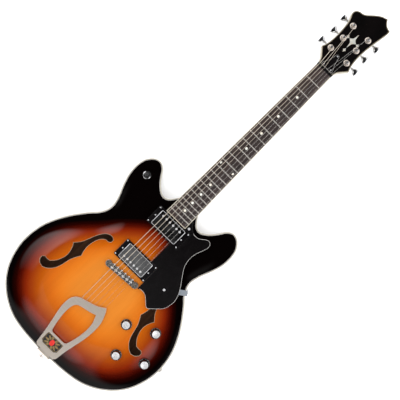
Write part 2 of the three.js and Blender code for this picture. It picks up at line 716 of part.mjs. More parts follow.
function tailBracket() {
  const face = TAIL - GAP;
  const plate = box(-PIN.half, PIN.half, face - 2, face, 14, PIN.z - 5);
  const pin = rod(PIN.radius, -PIN.half + 0.5, PIN.half - 0.5, 12).rotateY(Math.PI / 2);
  pin.translate(0, PIN.y, PIN.z);
  const ears = [-1, 1].map((side) => {
    const [a, b] = [side * 14.6, side * PIN.half].sort((p, q) => p - q);
    const upright = box(a, b, face - 2, face, PIN.z - 6, PIN.z + 1.8);
    return join(upright, box(a, b, face - 2, PIN.y + 2, PIN.z - 2.2, PIN.z + 1.8));
  });
  return join(plate, pin, ...ears);
}

// A strap button on its own axis, its flange outermost.
function strapButton() {
  const profile = [
    [0, 0], [6.2, 0], [6.2, 1.4], [3.4, 3], [3.4, 8], [7.4, 10.6], [7.4, 12.4], [4, 13.2], [0, 13.2],
  ];
  return turned(profile, 12);
}

tailFrame.add(named('tailpiece', tailpiece(), SATIN_NICKEL));
guitar.add(named('tailpiece_bracket', tailBracket(), SATIN_NICKEL));

const tailButton = named('strap_button_tail', strapButton(), CHROME);
tailButton.position.set(0, TAIL - 2 * GAP - 2, 32);
tailButton.rotation.x = Math.PI / 2;
const heelButton = named('strap_button_heel', strapButton(), CHROME);
heelButton.position.set(0, 219.4, 22.8);
heelButton.rotation.x = THREE.MathUtils.degToRad(-132);
guitar.add(tailButton, heelButton);

// ---------------------------------------------------------------------------------------------
// Pickguard and the bracket that holds its outer edge to the rim

const GUARD = { low: 66.6, high: 69.4 };
const GUARD_EDGE = [
  [30, 187.6], [38.5, 177], [47.5, 170.4], [58.2, 168.8], [68, 172], [77.5, 179.4], [85.5, 182],
  [92, 178.5], [94.2, 169.5], [90.5, 157], [84.8, 142], [82.4, 125], [86.5, 104.5], [98, 86],
  [112, 66], [121.2, 48.5], [124.4, 30.7], [119.5, 8.5], [107, -5.5], [95, -16.6],
];
const GUARD_TAIL = [
  [95, -16.6], [91.3, -18.6], [87, -17.5], [78, -9.5], [68.5, -1.6], [58, 1.2], [47.3, -0.8],
];
const guardShape = outlineOf(GUARD_EDGE, GUARD_TAIL);
for (const corner of [[47.3, 62.3], [27.6, 62.3], [27.6, 117], [47.3, 117], [47.3, 164.6], [30, 164.6]]) {
  guardShape.lineTo(...corner);
}
const GUARD_SCREW = { x: 90.1, y: 36.7 };
const BRACKET_END = { x: 131.2, y: 66 };

function guardBracket() {
  const width = 12;
  const thick = 1.5;
  const reach = Math.hypot(BRACKET_END.x - GUARD_SCREW.x, BRACKET_END.y - GUARD_SCREW.y);
  const high = GUARD.low - GAP;
  const strip = box(-7, reach + thick, -width / 2, width / 2, high - thick, high);
  const leg = box(reach, reach + thick, -width / 2, width / 2, 30, high);
  const turn = Math.atan2(BRACKET_END.y - GUARD_SCREW.y, BRACKET_END.x - GUARD_SCREW.x);
  return join(strip, leg).rotateZ(turn).translate(GUARD_SCREW.x, GUARD_SCREW.y, 0);
}

guitar.add(
  named('pickguard', prism(guardShape, GUARD.low, GUARD.high, 2), BLACK_PLASTIC),
  named('pickguard_bracket', guardBracket(), SATIN_NICKEL),
);

// ---------------------------------------------------------------------------------------------
// Controls: knobs on their shafts, the soldered pots, the toggle switch and the output jack

const POT = { shaft: 3, bushing: 4.6, can: 12, canHigh: -PLATE - 2.2, canLow: -PLATE - 12 };

function knob() {
  return turned([
    [0, POT.canHigh - 1.5], [POT.shaft, POT.canHigh - 1.5], [POT.shaft, 4.6], [8.2, 4.6], [8.2, 2.6],
    [12.3, 2.6], [12.3, 4.4], [10, 6.2], [9.1, 15.6], [8.6, 16.4], [0, 16.4],
  ], 12);
}

function pot() {
  const can = rod(POT.can, POT.canLow, POT.canHigh, 10);
  const bushing = rod(POT.bushing, POT.canHigh - 1, 3.2, 8);
  const nut = rod(6.8, 0.9, 2.3, 6);
  const bore = rod(POT.shaft + 0.5, POT.canHigh - 2.6, 5, 8);
  return cut(join(can, bushing, nut), bore);
}

// The four pots hang under the top and are soldered together by their ground wires.
function controlHarness() {
  const pots = controlFrames.map((frame) => pot().applyMatrix4(frame.matrixWorld));
  const tag = (i) => new THREE.Vector3(0, 0, POT.canLow + 3).applyMatrix4(controlFrames[i].matrixWorld);
  const wires = [[0, 3], [3, 2], [2, 1]].map(([a, b]) => {
    const middle = tag(a).lerp(tag(b), 0.5).add(new THREE.Vector3(0, 0, -6));
    return wire([tag(a), tag(a).lerp(middle, 0.6), middle, middle.clone().lerp(tag(b), 0.4), tag(b)], 1.1);
  });
  return join(...pots, ...wires);
}

KNOBS.forEach(({ name }, i) => {
  const mesh = named(`${name}_knob`, knob(), BLACK_PLASTIC);
  mesh.applyMatrix4(controlFrames[i].matrixWorld);
  guitar.add(mesh);
});
guitar.add(named('control_harness', controlHarness(), ALUMINIUM));

const SWITCH_PIVOT = -2; // below the top's surface

function switchHousing() {
  const body = box(-7, 7, -12, 12, -PLATE - 24, -PLATE - 2.2);
  const bushing = rod(6, -PLATE - 4, 2.5, 10);
  const nut = rod(9.2, 0.9, 3.4, 16);
  const room = join(
    rod(3, -PLATE - 10, SWITCH_PIVOT, 8),
    new THREE.CylinderGeometry(4.6, 2.4, 7, 12).rotateX(Math.PI / 2).translate(0, 0, SWITCH_PIVOT + 3),
  );
  return cut(join(body, bushing, nut), room);
}

function switchLever() {
  return turned([
    [0, SWITCH_PIVOT - 5.5], [1.3, SWITCH_PIVOT - 5.5], [1.3, 5],
    [3.2, 5.6], [4.2, 9], [4.6, 14], [3.8, 17], [0, 18.2],
  ], 12);
}

switchFrame.add(
  named('switch_housing', switchHousing(), CHROME),
  named('switch_lever', switchLever(), BLACK_PLASTIC),
);
guitar.add(switchFrame);

function outputJack() {
  const barrel = rod(4.8, -24, 5.2, 12);
  const washer = rod(9.2, GAP, 1.6, 16);
  const nut = rod(7, 1.4, 4, 6);
  const body = rod(7.5, -24, -RIM_WALL - 1, 12);
  const bore = rod(3.35, -26, 8, 12);
  const made = cut(join(barrel, washer, nut, body), bore);
  return made.rotateY(Math.PI / 2).translate(209, JACK.y, JACK.z);
}
guitar.add(named('output_jack', outputJack(), CHROME));

// ---------------------------------------------------------------------------------------------
// Strings: held at the tailpiece, bent over saddle and nut, and wound on the posts

function stringPath(i) {
  const radius = STRING_RADII[i];
  const x = stringX(i);
  const crest = bridgeFrame.localToWorld(new THREE.Vector3(x, SADDLE_OFFSETS[i], STRING_AT_BRIDGE));
  const overNut = neckFrame.localToWorld(new THREE.Vector3((i - 2.5) * NUT_SPACING, NUT_V, STRING_OVER_NUT));
  const offNut = neckFrame.localToWorld(
    new THREE.Vector3((i - 2.5) * NUT_SPACING, NUT_V + NUT_LONG, STRING_OVER_NUT - 0.2),
  );
  const front = TAIL_FRONT.findIndex(([fx]) => fx > x);
  const [[ax, ay], [bx, by]] = [TAIL_FRONT[front - 1], TAIL_FRONT[front]];
  const edgeY = ay + ((by - ay) * (x - ax)) / (bx - ax);
  const inTail = new THREE.Vector3(x, edgeY - TAILPIECE.rear + 1.2, TAILPIECE.thick / 2);
  const anchor = tailFrame.localToWorld(inTail);

  // The coil runs down the post from the side that faces the middle of the headstock.
  const { w, s } = TUNERS[i];
  const side = Math.sign(w);
  const round = TUNER.post + GAP + radius;
  const turns = 1.5;
  const stepsPerTurn = 8;
  const coil = [];
  for (let k = 0; k <= turns * stepsPerTurn; k += 1) {
    const angle = (2 * Math.PI * k) / stepsPerTurn;
    const level = 6.2 - (k / stepsPerTurn) * (2 * radius + 0.25);
    coil.push(headPoint(w - side * round * Math.cos(angle), s + round * Math.sin(angle), level));
  }
  return [anchor, crest, overNut, offNut, ...coil];
}

STRING_RADII.forEach((radius, i) => {
  guitar.add(named(`string_${6 - i}`, wire(stringPath(i), radius), STRING_STEEL));
});

export default guitar;
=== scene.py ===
"""A semi-hollow electric guitar with a burst top, lying on its back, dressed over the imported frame.

Shapes are worked in millimetres in the frame's axes and turned to metres where a mesh is made.
"""

import json  # noqa: E402
import math  # noqa: E402

import bmesh  # noqa: E402
import bpy  # noqa: E402
import numpy as np  # noqa: E402
from mathutils import Matrix, Vector  # noqa: E402
from mathutils.geometry import delaunay_2d_cdt  # noqa: E402


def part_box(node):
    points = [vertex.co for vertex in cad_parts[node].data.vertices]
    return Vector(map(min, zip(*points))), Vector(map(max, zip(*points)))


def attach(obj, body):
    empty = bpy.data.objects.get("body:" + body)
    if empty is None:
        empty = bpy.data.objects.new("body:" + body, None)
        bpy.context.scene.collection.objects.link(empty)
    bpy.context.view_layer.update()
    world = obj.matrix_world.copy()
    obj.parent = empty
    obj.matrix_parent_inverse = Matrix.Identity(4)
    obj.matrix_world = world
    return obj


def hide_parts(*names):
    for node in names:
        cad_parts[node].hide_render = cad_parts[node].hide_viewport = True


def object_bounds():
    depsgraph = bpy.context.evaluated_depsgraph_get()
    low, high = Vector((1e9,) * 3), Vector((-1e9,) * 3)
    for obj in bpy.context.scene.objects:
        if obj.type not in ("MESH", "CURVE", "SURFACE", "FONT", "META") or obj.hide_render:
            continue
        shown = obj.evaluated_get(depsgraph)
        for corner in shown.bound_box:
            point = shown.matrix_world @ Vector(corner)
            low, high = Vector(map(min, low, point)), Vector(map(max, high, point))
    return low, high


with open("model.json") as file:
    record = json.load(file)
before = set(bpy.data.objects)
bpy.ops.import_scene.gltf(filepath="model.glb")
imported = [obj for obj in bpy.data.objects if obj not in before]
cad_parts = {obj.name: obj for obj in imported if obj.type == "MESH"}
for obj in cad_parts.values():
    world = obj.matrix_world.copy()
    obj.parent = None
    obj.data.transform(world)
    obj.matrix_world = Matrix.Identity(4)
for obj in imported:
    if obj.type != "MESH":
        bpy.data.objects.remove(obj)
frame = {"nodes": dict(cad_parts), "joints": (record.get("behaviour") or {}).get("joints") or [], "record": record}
CAD_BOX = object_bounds()

MM = 0.001
SCALE = 628.65  # string length, nut to bridge line
PLATE = 4.5  # thickness of the top and back
ARCH = 9.0  # rise of the plates from edge to middle
ARCH_REACH = 85.0
HORN_REACH = 28.0  # added to that in the horns
TREBLE_REACH = 10.0  # and on the treble side of the wide part
RIM_WALL = 6.0
BOARD_RADIUS = 305.0
FRETS = 22
UP = Vector((0, 0, 1))
ACROSS = Vector((1, 0, 0))
HERE = Matrix.Identity(4)


# ---- Reading the frame


def extent(node):
    """Lowest and highest corner of a CAD node, in millimetres."""
    low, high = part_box(node)
    return np.array(low) / MM, np.array(high) / MM


def place(origin, z_axis, x_axis=ACROSS):
    """A frame with the given origin, its z along z_axis and its x as near as can be to x_axis."""
    z = Vector(z_axis).normalized()
    y = z.cross(Vector(x_axis)).normalized()
    x = y.cross(z)
    return Matrix.Translation(Vector(origin)) @ Matrix((x, y, z)).transposed().to_4x4()


def joint_place(name, x_axis=ACROSS):
    """A joint's frame in millimetres, z along its axis."""
    found = next(j for j in frame["joints"] if j["name"] == name)
    return place(Vector(found["pos_m"]) / MM, found["axis"], x_axis)


def shifted(at, x, y, z=0.0, turn=0.0):
    """A frame moved along its own axes and turned about its z."""
    return at @ Matrix.Translation((x, y, z)) @ Matrix.Rotation(turn, 4, "Z")


def z_of(at):
    return at.to_3x3() @ UP


def cad_mesh(node):
    bm = bmesh.new()
    bm.from_mesh(frame["nodes"][node].data)
    bmesh.ops.remove_doubles(bm, verts=bm.verts, dist=1e-6)
    return bm


def chains(bm):
    """Closed chains of a mesh's edges, longest first, as arrays of points. The mesh is freed."""
    links = {v: [e.other_vert(v) for e in v.link_edges] for v in bm.verts}
    loops = []
    while any(links.values()):
        here = start = next(v for v in links if links[v])
        loop = []
        while True:
            loop.append(here.co / MM)
            there = links[here].pop()
            links[there].remove(here)
            here = there
            if here is start or not links[here]:
                break
        loops.append(np.array(loop))
    bm.free()
    return sorted(loops, key=lambda p: -np.linalg.norm(p - np.roll(p, 1, 0), axis=1).sum())


def section(node, point, normal):
    """Loops where a plane cuts a CAD node."""
    bm = cad_mesh(node)
    everything = bm.verts[:] + bm.edges[:] + bm.faces[:]
    plane = {"plane_co": Vector(point) * MM, "plane_no": normal}
    bmesh.ops.bisect_plane(bm, geom=everything, clear_inner=True, clear_outer=True, **plane)
    return chains(bm)


def wall_outlines(node):
    """Loops along the upper rims of a CAD plate's upright walls."""
    bm = cad_mesh(node)
    bm.normal_update()

    def is_rim(edge):
        tilts = sorted(f.normal.z for f in edge.link_faces)
        return len(tilts) == 2 and abs(tilts[0]) < 0.05 and tilts[1] > 0.9

    bmesh.ops.delete(bm, geom=[e for e in bm.edges if not is_rim(e)], context="EDGES")
    return [p[:, :2] for p in chains(bm)]


def local(points, at):
    """Points seen from a frame."""
    return np.array([at.inverted() @ Vector(p) for p in points])


# ---- Plane outlines


def steps_of(loop):
    """The steps that lead to and from each point of a closed loop."""
    return loop - np.roll(loop, 1, 0), np.roll(loop, -1, 0) - loop


def turning(loop):
    """Turning angle at each point of a closed loop, in degrees."""
    before, after = steps_of(loop)
    cross = before[:, 0] * after[:, 1] - before[:, 1] * after[:, 0]
    return np.degrees(np.arctan2(cross, (before * after).sum(1)))


def area_of(loop):
    x, y = loop.T
    return 0.5 * (x * np.roll(y, -1) - np.roll(x, -1) * y).sum()


def spline(points, step, closed=False):
    """Points a step apart along a Catmull-Rom curve."""
    if closed:
        padded = np.vstack([points[-1], points, points[:2]])
    else:
        padded = np.vstack([2 * points[0] - points[1], points, 2 * points[-1] - points[-2]])
    t = np.linspace(0, 1, 12, endpoint=False)[:, None]
    dense = []
    for a, b, c, d in zip(padded, padded[1:], padded[2:], padded[3:]):
        cubic = (3 * b - a - 3 * c + d) * t**3
        dense.append(0.5 * (2 * b + (c - a) * t + (2 * a - 5 * b + 4 * c - d) * t**2 + cubic))
    dense = np.vstack(dense + [points[:1] if closed else points[-1:]])
    along = np.concatenate([[0], np.cumsum(np.linalg.norm(np.diff(dense, axis=0), axis=1))])
    count = max(int(round(along[-1] / step)), 1)
    wanted = np.linspace(0, along[-1], count + 1)[:-1]
    return np.stack([np.interp(wanted, along, dense[:, k]) for k in range(dense.shape[1])], axis=1)


def smooth(loop, step=2.0, corner=30.0):
    """A counter-clockwise copy of a loop, rounded through its points except where it turns sharply."""
    loop = np.array(loop)[:, :2]
    loop = loop[np.linalg.norm(steps_of(loop)[0], axis=1) > 0.02]
    for _ in range(2):
        loop = loop[np.abs(turning(loop)) > 0.25]
    if area_of(loop) < 0:
        loop = loop[::-1]
    corners = np.flatnonzero(np.abs(turning(loop)) > corner)
    if not len(corners):
        return spline(loop, step, closed=True)
    runs = []
    for a, b in zip(corners, np.append(corners[1:], corners[0] + len(loop))):
        run = loop[np.arange(a, b + 1) % len(loop)]
        runs.append(spline(run, step) if len(run) > 2 else run[:1])
    return np.vstack(runs)


def above(loop, level):
    """The part of a plane loop whose second coordinate is over a level."""
    kept = []
    for a, b in zip(loop, np.roll(loop, -1, 0)):
        if a[1] > level:
            kept.append(a)
        if (a[1] > level) != (b[1] > level):
            kept.append(a + (b - a) * (level - a[1]) / (b[1] - a[1]))
    return np.array(kept)


def inset(loop, distance):
    """A counter-clockwise loop moved inwards by a distance, or outwards if it is negative."""
    before, after = (step / np.linalg.norm(step, axis=1)[:, None] for step in steps_of(loop))
    along = before + after
    along /= np.linalg.norm(along, axis=1)[:, None]
    stretch = np.clip((along * after).sum(1), 0.5, 1)
    inward = np.stack([-along[:, 1], along[:, 0]], axis=1)
    return loop + inward * (distance / stretch)[:, None]


def inside(points, loop):
    """Whether each point lies within a loop."""
    x, y = points.T
    found = np.zeros(len(points), bool)
    for (ax, ay), (bx, by) in zip(loop, np.roll(loop, -1, 0)):
        if ay != by:
            found ^= ((ay > y) != (by > y)) & (x < (bx - ax) * (y - ay) / (by - ay) + ax)
    return found


def triangles(outer, holes=(), spacing=None):
    """Points and triangles that fill a loop less its holes, with a lattice of inner points."""
    points = np.vstack([outer, *holes])
    edges, start = [], 0
    for loop in (outer, *holes):
        count = len(loop)
        edges += [(start + i, start + (i + 1) % count) for i in range(count)]
        start += count
    if spacing:
        low, high = outer.min(0), outer.max(0)
        columns, rows = np.meshgrid(*[np.arange(low[k], high[k], spacing) for k in (0, 1)])
        lattice = np.stack([columns.ravel(), rows.ravel()], axis=1)
        keep = inside(lattice, inset(outer, 0.55 * spacing))
        for hole in holes:
            keep &= ~inside(lattice, inset(hole, -0.55 * spacing))
        points = np.vstack([points, lattice[keep]])
    made, _, faces, *_ = delaunay_2d_cdt([Vector(p) for p in points], edges, [], 0, 1e-6)
    made, faces = np.array(made), np.array(faces)
    middles = made[faces].mean(1)
    keep = inside(middles, outer)
    for hole in holes:
        keep &= ~inside(middles, hole)
    return made, faces[keep]


def ring_of(angles, x_radius, y_radius=None):
    """Points of a circle or an ellipse at the given angles."""
    return np.stack([x_radius * np.cos(angles), (y_radius or x_radius) * np.sin(angles)], axis=1)


def around(sides):
    """Angles that divide a full turn."""
    return np.arange(sides) * 2 * math.pi / sides


def rounded_rectangle(length, width, corner, middle=(0, 0)):
    quarters = []
    for quarter, (sx, sy) in enumerate([(1, 1), (-1, 1), (-1, -1), (1, -1)]):
        centre = np.array([sx * (length / 2 - corner), sy * (width / 2 - corner)]) + middle
        angles = np.linspace(0, math.pi / 2, 6) + quarter * math.pi / 2
        quarters.append(centre + ring_of(angles, corner))
    return np.vstack(quarters)


# ---- Making pieces


def linked(name, data):
    made = bpy.data.objects.new(name, data)
    bpy.context.scene.collection.objects.link(made)
    return made


def piece(name, points, faces, material, body="body", stands_for=(), slot=None, at=HERE, creases=35):
    """A mesh piece from points in millimetres, riding on a body."""
    mesh = bpy.data.meshes.new(name)
    mesh.from_pydata([(at @ Vector(p)) * MM for p in points], [], [[int(i) for i in f] for f in faces])
    mesh.validate()
    mesh.materials.append(material)
    mesh.shade_smooth()
    mesh.set_sharp_from_angle(angle=math.radians(creases))
    made = linked(name, mesh)
    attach(made, body)
    if stands_for:
        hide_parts(*stands_for)
    return made


def bevelled(made, width, segments):
    """Rounds a piece's sharp edges."""
    modifier = made.modifiers.new("round", "BEVEL")
    modifier.width = width * MM
    modifier.segments = segments
    modifier.limit_method = "ANGLE"
    modifier.angle_limit = math.radians(30)
    modifier.harden_normals = True
    return made


def heights_of(level, points):
    """A level, or a function of position, at each of some plane points."""
    return level(points) if callable(level) else np.full(len(points), float(level))


def prism(outer, holes, low, high, spacing=None):
    """Points and faces of a plate with holes between two levels or height functions."""
    plane, faces = triangles(outer, holes, spacing)
    count = len(plane)
    points = np.vstack([np.column_stack([plane, heights_of(level, plane)]) for level in (low, high)])
    made = [list(f + count) for f in faces] + [list(f[::-1]) for f in faces]
    start = 0
    for number, loop in enumerate([outer, *holes]):
        for i in range(len(loop)):
            a, b = start + i, start + (i + 1) % len(loop)
            wall = [a, b, b + count, a + count]
            made.append(wall if number == 0 else wall[::-1])
        start += len(loop)
    return points, made


def slab(name, outer, low, high, material, holes=(), bevel=0, segments=3, **how):
    """A prism with its flat faces kept whole, so that its edges can be rounded."""
    made = piece(name, *prism(outer, holes, low, high), material, **how)
    if bevel:
        bm = bmesh.new()
        bm.from_mesh(made.data)
        bmesh.ops.dissolve_limit(bm, angle_limit=math.radians(0.5), verts=bm.verts, edges=bm.edges)
        bm.to_mesh(made.data)
        bm.free()
        bevelled(made, bevel, segments)
    return made


def ring_faces(rings, count, closed):
    """Faces between rings of points, also from the last ring to the first if they are closed."""
    faces = []
    for r in range(rings if closed else rings - 1):
        near, far = r * count, (r + 1) % rings * count
        for i in range(count):
            after = (i + 1) % count
            faces.append([near + i, near + after, far + after, far + i])
    return faces


def skin(sections):
    """Points and faces of closed sections joined in order, with flat ends."""
    count = len(sections[0])
    last = (len(sections) - 1) * count
    ends = [list(range(count))[::-1], list(range(last, last + count))]
    return np.vstack(sections), ring_faces(len(sections), count, False) + ends


def turned(profile, sides=48, ripple=None, hollow=False):
    """Points and faces of a profile of (radius, height) turned about z; ripple is (count, depth, from, to).

    A hollow profile closes on itself round a bore.
    """
    angles = around(sides)
    rings = [(radius, height) for radius, height in profile if radius > 0]
    points = []
    for radius, height in rings:
        r = np.full(sides, float(radius))
        if ripple and ripple[2] <= height <= ripple[3]:
            r = r - ripple[1] * (0.5 + 0.5 * np.cos(ripple[0] * angles))
        points += list(np.stack([r * np.cos(angles), r * np.sin(angles), np.full(sides, height)], axis=1))
    faces = ring_faces(len(rings), sides, hollow)
    if hollow:
        return np.array(points), faces
    first, last = list(range(sides))[::-1], list(range((len(rings) - 1) * sides, len(rings) * sides))
    for ring, (radius, height) in ((first, profile[0]), (last, profile[-1])):
        if radius > 0:
            faces.append(ring)
        else:
            faces += [[a, b, len(points)] for a, b in zip(ring, ring[1:] + ring[:1])]
            points.append(np.array([0, 0, height]))
    return np.array(points), faces


def lathe(name, profile, material, sides=48, ripple=None, **how):
    return piece(name, *turned(profile, sides, ripple), material, **how)


def swept(name, loop, profile, height, material, **how):
    """A closed profile of (inset, rise) pairs carried round a loop over a level or height function."""
    rings = []
    for distance, up in profile:
        ring = inset(loop, distance)
        rings.append(np.column_stack([ring, heights_of(height, ring) + up]))
    return piece(name, np.vstack(rings), ring_faces(len(rings), len(loop), True), material, **how)


def tube(path, radius, sides=10):
    """Points and faces of a round tube along a path."""
    path = np.array(path, float)
    ahead = np.gradient(path, axis=0)
    ahead /= np.linalg.norm(ahead, axis=1)[:, None]
    side = np.cross(ahead[0], UP)
    circle = ring_of(around(sides), radius)
    rings = []
    for here, forward in zip(path, ahead):
        side = side - forward * side.dot(forward)
        side /= np.linalg.norm(side)
        rings.append(here + circle @ np.stack([side, np.cross(side, forward)]))
    return skin(rings)


def joined(name, parts, material, **how):
    """One piece made of several closed meshes, each (points, faces) or (points, faces, frame)."""
    points, faces = [], []
    for made, its_faces, *at in parts:
        start = len(points)
        matrix = at[0] if at else HERE
        points += [matrix @ Vector(p) for p in made]
        faces += [[int(i) + start for i in f] for f in its_faces]
    return piece(name, points, faces, material, **how)


def block(size, middle):
    """Points and faces of a box, for small hard-edged parts."""
    half = np.array(size) / 2
    corners = [(-1, -1), (1, -1), (1, 1), (-1, 1)]
    return skin([[np.array(middle) + half * (x, y, z) for x, y in corners] for z in (-1, 1)])


def screws(name, spots, radius, height, sectors, material, **how):
    """One piece of screw heads at frames, each with a slot (two sectors) or a cross (four) in it.

    The slot is what is left between the raised sectors.
    """
    half_slot = radius * 0.16
    points, faces = turned([(radius * 0.9, 0), (radius, height * 0.3), (radius, height * 0.55)], 24)
    points = list(points)
    span = 2 * math.pi / sectors
    reach = math.asin(half_slot / radius)
    rim = ring_of(np.linspace(reach, span - reach, 24 // sectors), radius)
    inner = [(half_slot, half_slot)] if sectors == 4 else []
    low = [(x, y, height * 0.5) for x, y in [*rim, *inner]]
    high = [(x * 0.86, max(y * 0.86, half_slot), height) for x, y in rim]
    high += [(x, y, height) for x, y in inner]
    made, its_faces = skin([low, high])
    for sector in range(sectors):
        turn = Matrix.Rotation(sector * span, 3, "Z")
        faces += [[len(points) + i for i in f] for f in its_faces]
        points += [turn @ Vector(p) for p in made]
    return joined(name, [(points, faces, at) for at in spots], material, **how)


def copied(node, material, bevel, body="body", slot=None):
    """A copy of a CAD node with rounded edges, standing for it."""
    bm = cad_mesh(node)
    bmesh.ops.dissolve_limit(bm, angle_limit=math.radians(1), verts=bm.verts, edges=bm.edges)
    points = [v.co / MM for v in bm.verts]
    bm.verts.index_update()
    faces = [[v.index for v in f.verts] for f in bm.faces]
    bm.free()
    made = piece(f"{node}_fine", points, faces, material, body=body, stands_for=[node], slot=slot)
    bevelled(made, bevel, 2)


# ---- Materials


class Graph:
    """A shader's node tree, with short ways to add to it."""

    def __init__(self, tree):
        self.tree = tree

    def node(self, kind, inputs=(), **settings):
        made = self.tree.nodes.new(kind)
        for name, value in settings.items():
            setattr(made, name, value)
        for name, value in dict(inputs).items():
            self.feed(made.inputs[name], value)
        return made

    def feed(self, socket, value):
        if isinstance(value, bpy.types.NodeSocket):
            self.tree.links.new(value, socket)
        else:
            socket.default_value = value

    def math(self, operation, a, b=0.0):
        return self.node("ShaderNodeMath", {0: a, 1: b}, operation=operation).outputs[0]

    def vector_math(self, operation, a, b):
        return self.node("ShaderNodeVectorMath", {0: a, 1: b}, operation=operation).outputs["Vector"]

    def levels(self, value, low, high, start=0.0, end=1.0, shape="LINEAR"):
        """A value remapped from start..end to low..high."""
        inputs = {"Value": value, "From Min": start, "From Max": end, "To Min": low, "To Max": high}
        return self.node("ShaderNodeMapRange", inputs, interpolation_type=shape).outputs["Result"]


class Recipe(Graph):
    """A procedural material: one Principled shader and the nodes that feed it."""

    def __init__(self, name, **constants):
        self.material = bpy.data.materials.new(name)
        self.material.use_nodes = True
        super().__init__(self.material.node_tree)
        self.shader = self.tree.nodes["Principled BSDF"]
        for socket, value in constants.items():
            self.shader.inputs[socket.replace("_", " ")].default_value = value
        self.coords = self.node("ShaderNodeTexCoord").outputs["Object"]

    def spread(self, scale):
        """Object coordinates multiplied by a scale for each axis."""
        return self.node("ShaderNodeMapping", {"Vector": self.coords, "Scale": scale}).outputs["Vector"]

    def noise(self, scale, detail=3.0, distortion=0.0):
        inputs = {"Vector": self.spread(scale), "Scale": 1.0, "Detail": detail, "Distortion": distortion}
        return self.node("ShaderNodeTexNoise", inputs).outputs["Fac"]

    def ramp(self, value, stops):
        made = self.node("ShaderNodeValToRGB", {"Fac": value})
        elements = made.color_ramp.elements
        while len(elements) < len(stops):
            elements.new(0.5)
        for element, (position, color) in zip(elements, stops):
            element.position = position
            element.color = (*color, 1)
        return made.outputs["Color"]

    def worn(self, value, color, dull, start, end):
        """A colour that turns to a duller one as a value goes from start to end."""
        inputs = {"Factor": self.levels(value, 0, 1, start, end), 6: (*color, 1), 7: (*dull, 1)}
        return self.node("ShaderNodeMix", inputs, data_type="RGBA").outputs[2]

    def bump(self, height, strength, distance):
        inputs = {"Height": height, "Strength": strength, "Distance": distance}
        self.feed(self.shader.inputs["Normal"], self.node("ShaderNodeBump", inputs).outputs["Normal"])

    def paint(self, color, roughness=None):
        self.feed(self.shader.inputs["Base Color"], color)
        if roughness is not None:
            self.feed(self.shader.inputs["Roughness"], roughness)
        return self.material


LACQUER = {"Coat_Weight": 1.0, "Coat_Roughness": 0.02, "Coat_IOR": 1.5, "Specular_IOR_Level": 0.0}


def burst_lacquer():
    """Maple shaded from amber through red to black by the vertex value "burst", under clear lacquer."""
    made = Recipe("burst_lacquer", **LACQUER)
    burst = made.node("ShaderNodeAttribute", attribute_name="burst").outputs["Fac"]
    cloud = made.noise((14, 9, 14), detail=2)
    base = made.ramp(made.math("ADD", burst, made.levels(cloud, -0.02, 0.02)), [
        (0.10, (0.001, 0.0005, 0.0005)), (0.18, (0.0105, 0.0006, 0.0002)), (0.26, (0.048, 0.0027, 0.0008)),
        (0.35, (0.141, 0.0113, 0.0016)), (0.44, (0.205, 0.028, 0.003)), (0.58, (0.31, 0.062, 0.0027)),
        (0.70, (0.405, 0.086, 0.003)), (0.84, (0.476, 0.124, 0.007)), (1.0, (0.488, 0.152, 0.015)),
    ])
    figure = made.noise((90, 7, 90), detail=5, distortion=0.6)
    flecks = made.noise((900, 30, 900), detail=2)
    grain = made.math("ADD", made.levels(figure, -0.10, 0.10), made.levels(flecks, -0.05, 0.05))
    toned = made.vector_math("MULTIPLY", base, made.math("ADD", grain, 1.0))
    return made.paint(toned, made.levels(figure, 0.34, 0.46))


def black_lacquer():
    made = Recipe("black_lacquer", **LACQUER)
    cloud = made.noise((30, 12, 30))
    tones = [(0.3, (0.001, 0.0008, 0.0008)), (0.8, (0.003, 0.002, 0.002))]
    return made.paint(made.ramp(cloud, tones), made.levels(cloud, 0.30, 0.42))


def cream_plastic(name, color, dark):
    made = Recipe(name, Coat_Weight=0.6, Coat_Roughness=0.08)
    age = made.noise((40, 25, 40), detail=4)
    return made.paint(made.worn(age, color, dark, 0.35, 0.75), made.levels(age, 0.3, 0.42))


def rosewood():
    made = Recipe("rosewood", Specular_IOR_Level=0.35)
    streak = made.noise((260, 9, 260), detail=6, distortion=0.5)
    pore = made.noise((1500, 60, 1500), detail=2)
    tones = [(0.25, (0.010, 0.006, 0.006)), (0.5, (0.026, 0.017, 0.016)), (0.75, (0.055, 0.036, 0.032))]
    pits = made.levels(pore, 0.45, 1.0, 0.38, 0.52)
    made.bump(pits, 0.25, 0.0002)
    dark = made.vector_math("MULTIPLY", made.ramp(streak, tones), pits)
    return made.paint(dark, made.levels(streak, 0.42, 0.6))


def bare_wood():
    made = Recipe("bare_wood", Specular_IOR_Level=0.25)
    streak = made.noise((120, 8, 120), detail=6, distortion=0.4)
    made.bump(streak, 0.2, 0.0003)
    tones = [(0.3, (0.050, 0.021, 0.011)), (0.7, (0.115, 0.054, 0.028))]
    return made.paint(made.ramp(streak, tones), made.levels(streak, 0.65, 0.85))


def metal(name, color, dull, low, high, stretch=(60,) * 3, metallic=1.0, scratches=0.0):
    """Metal with a smudged or brushed roughness; less metallic where fine scratches scatter the light."""
    made = Recipe(name, Metallic=metallic)
    smear = made.noise(stretch, detail=5)
    if scratches:
        made.bump(made.noise([s * 9 for s in stretch], detail=2), scratches, 0.00005)
    return made.paint(made.worn(smear, color, dull, 0.4, 0.7), made.levels(smear, low, high, 0.3, 0.7))


def wound_wire(name, color, dull, turns):
    """Wire wrapped in finer wire, whose turns run across the string."""
    made = Recipe(name, Metallic=1.0)
    inputs = {"Vector": made.coords, "Scale": turns, "Distortion": 0.0}
    made.bump(made.node("ShaderNodeTexWave", inputs, bands_direction="Y").outputs["Fac"], 0.5, 0.0001)
    age = made.noise((30, 6, 30))
    return made.paint(made.worn(age, color, dull, 0.35, 0.7), made.levels(age, 0.22, 0.38))


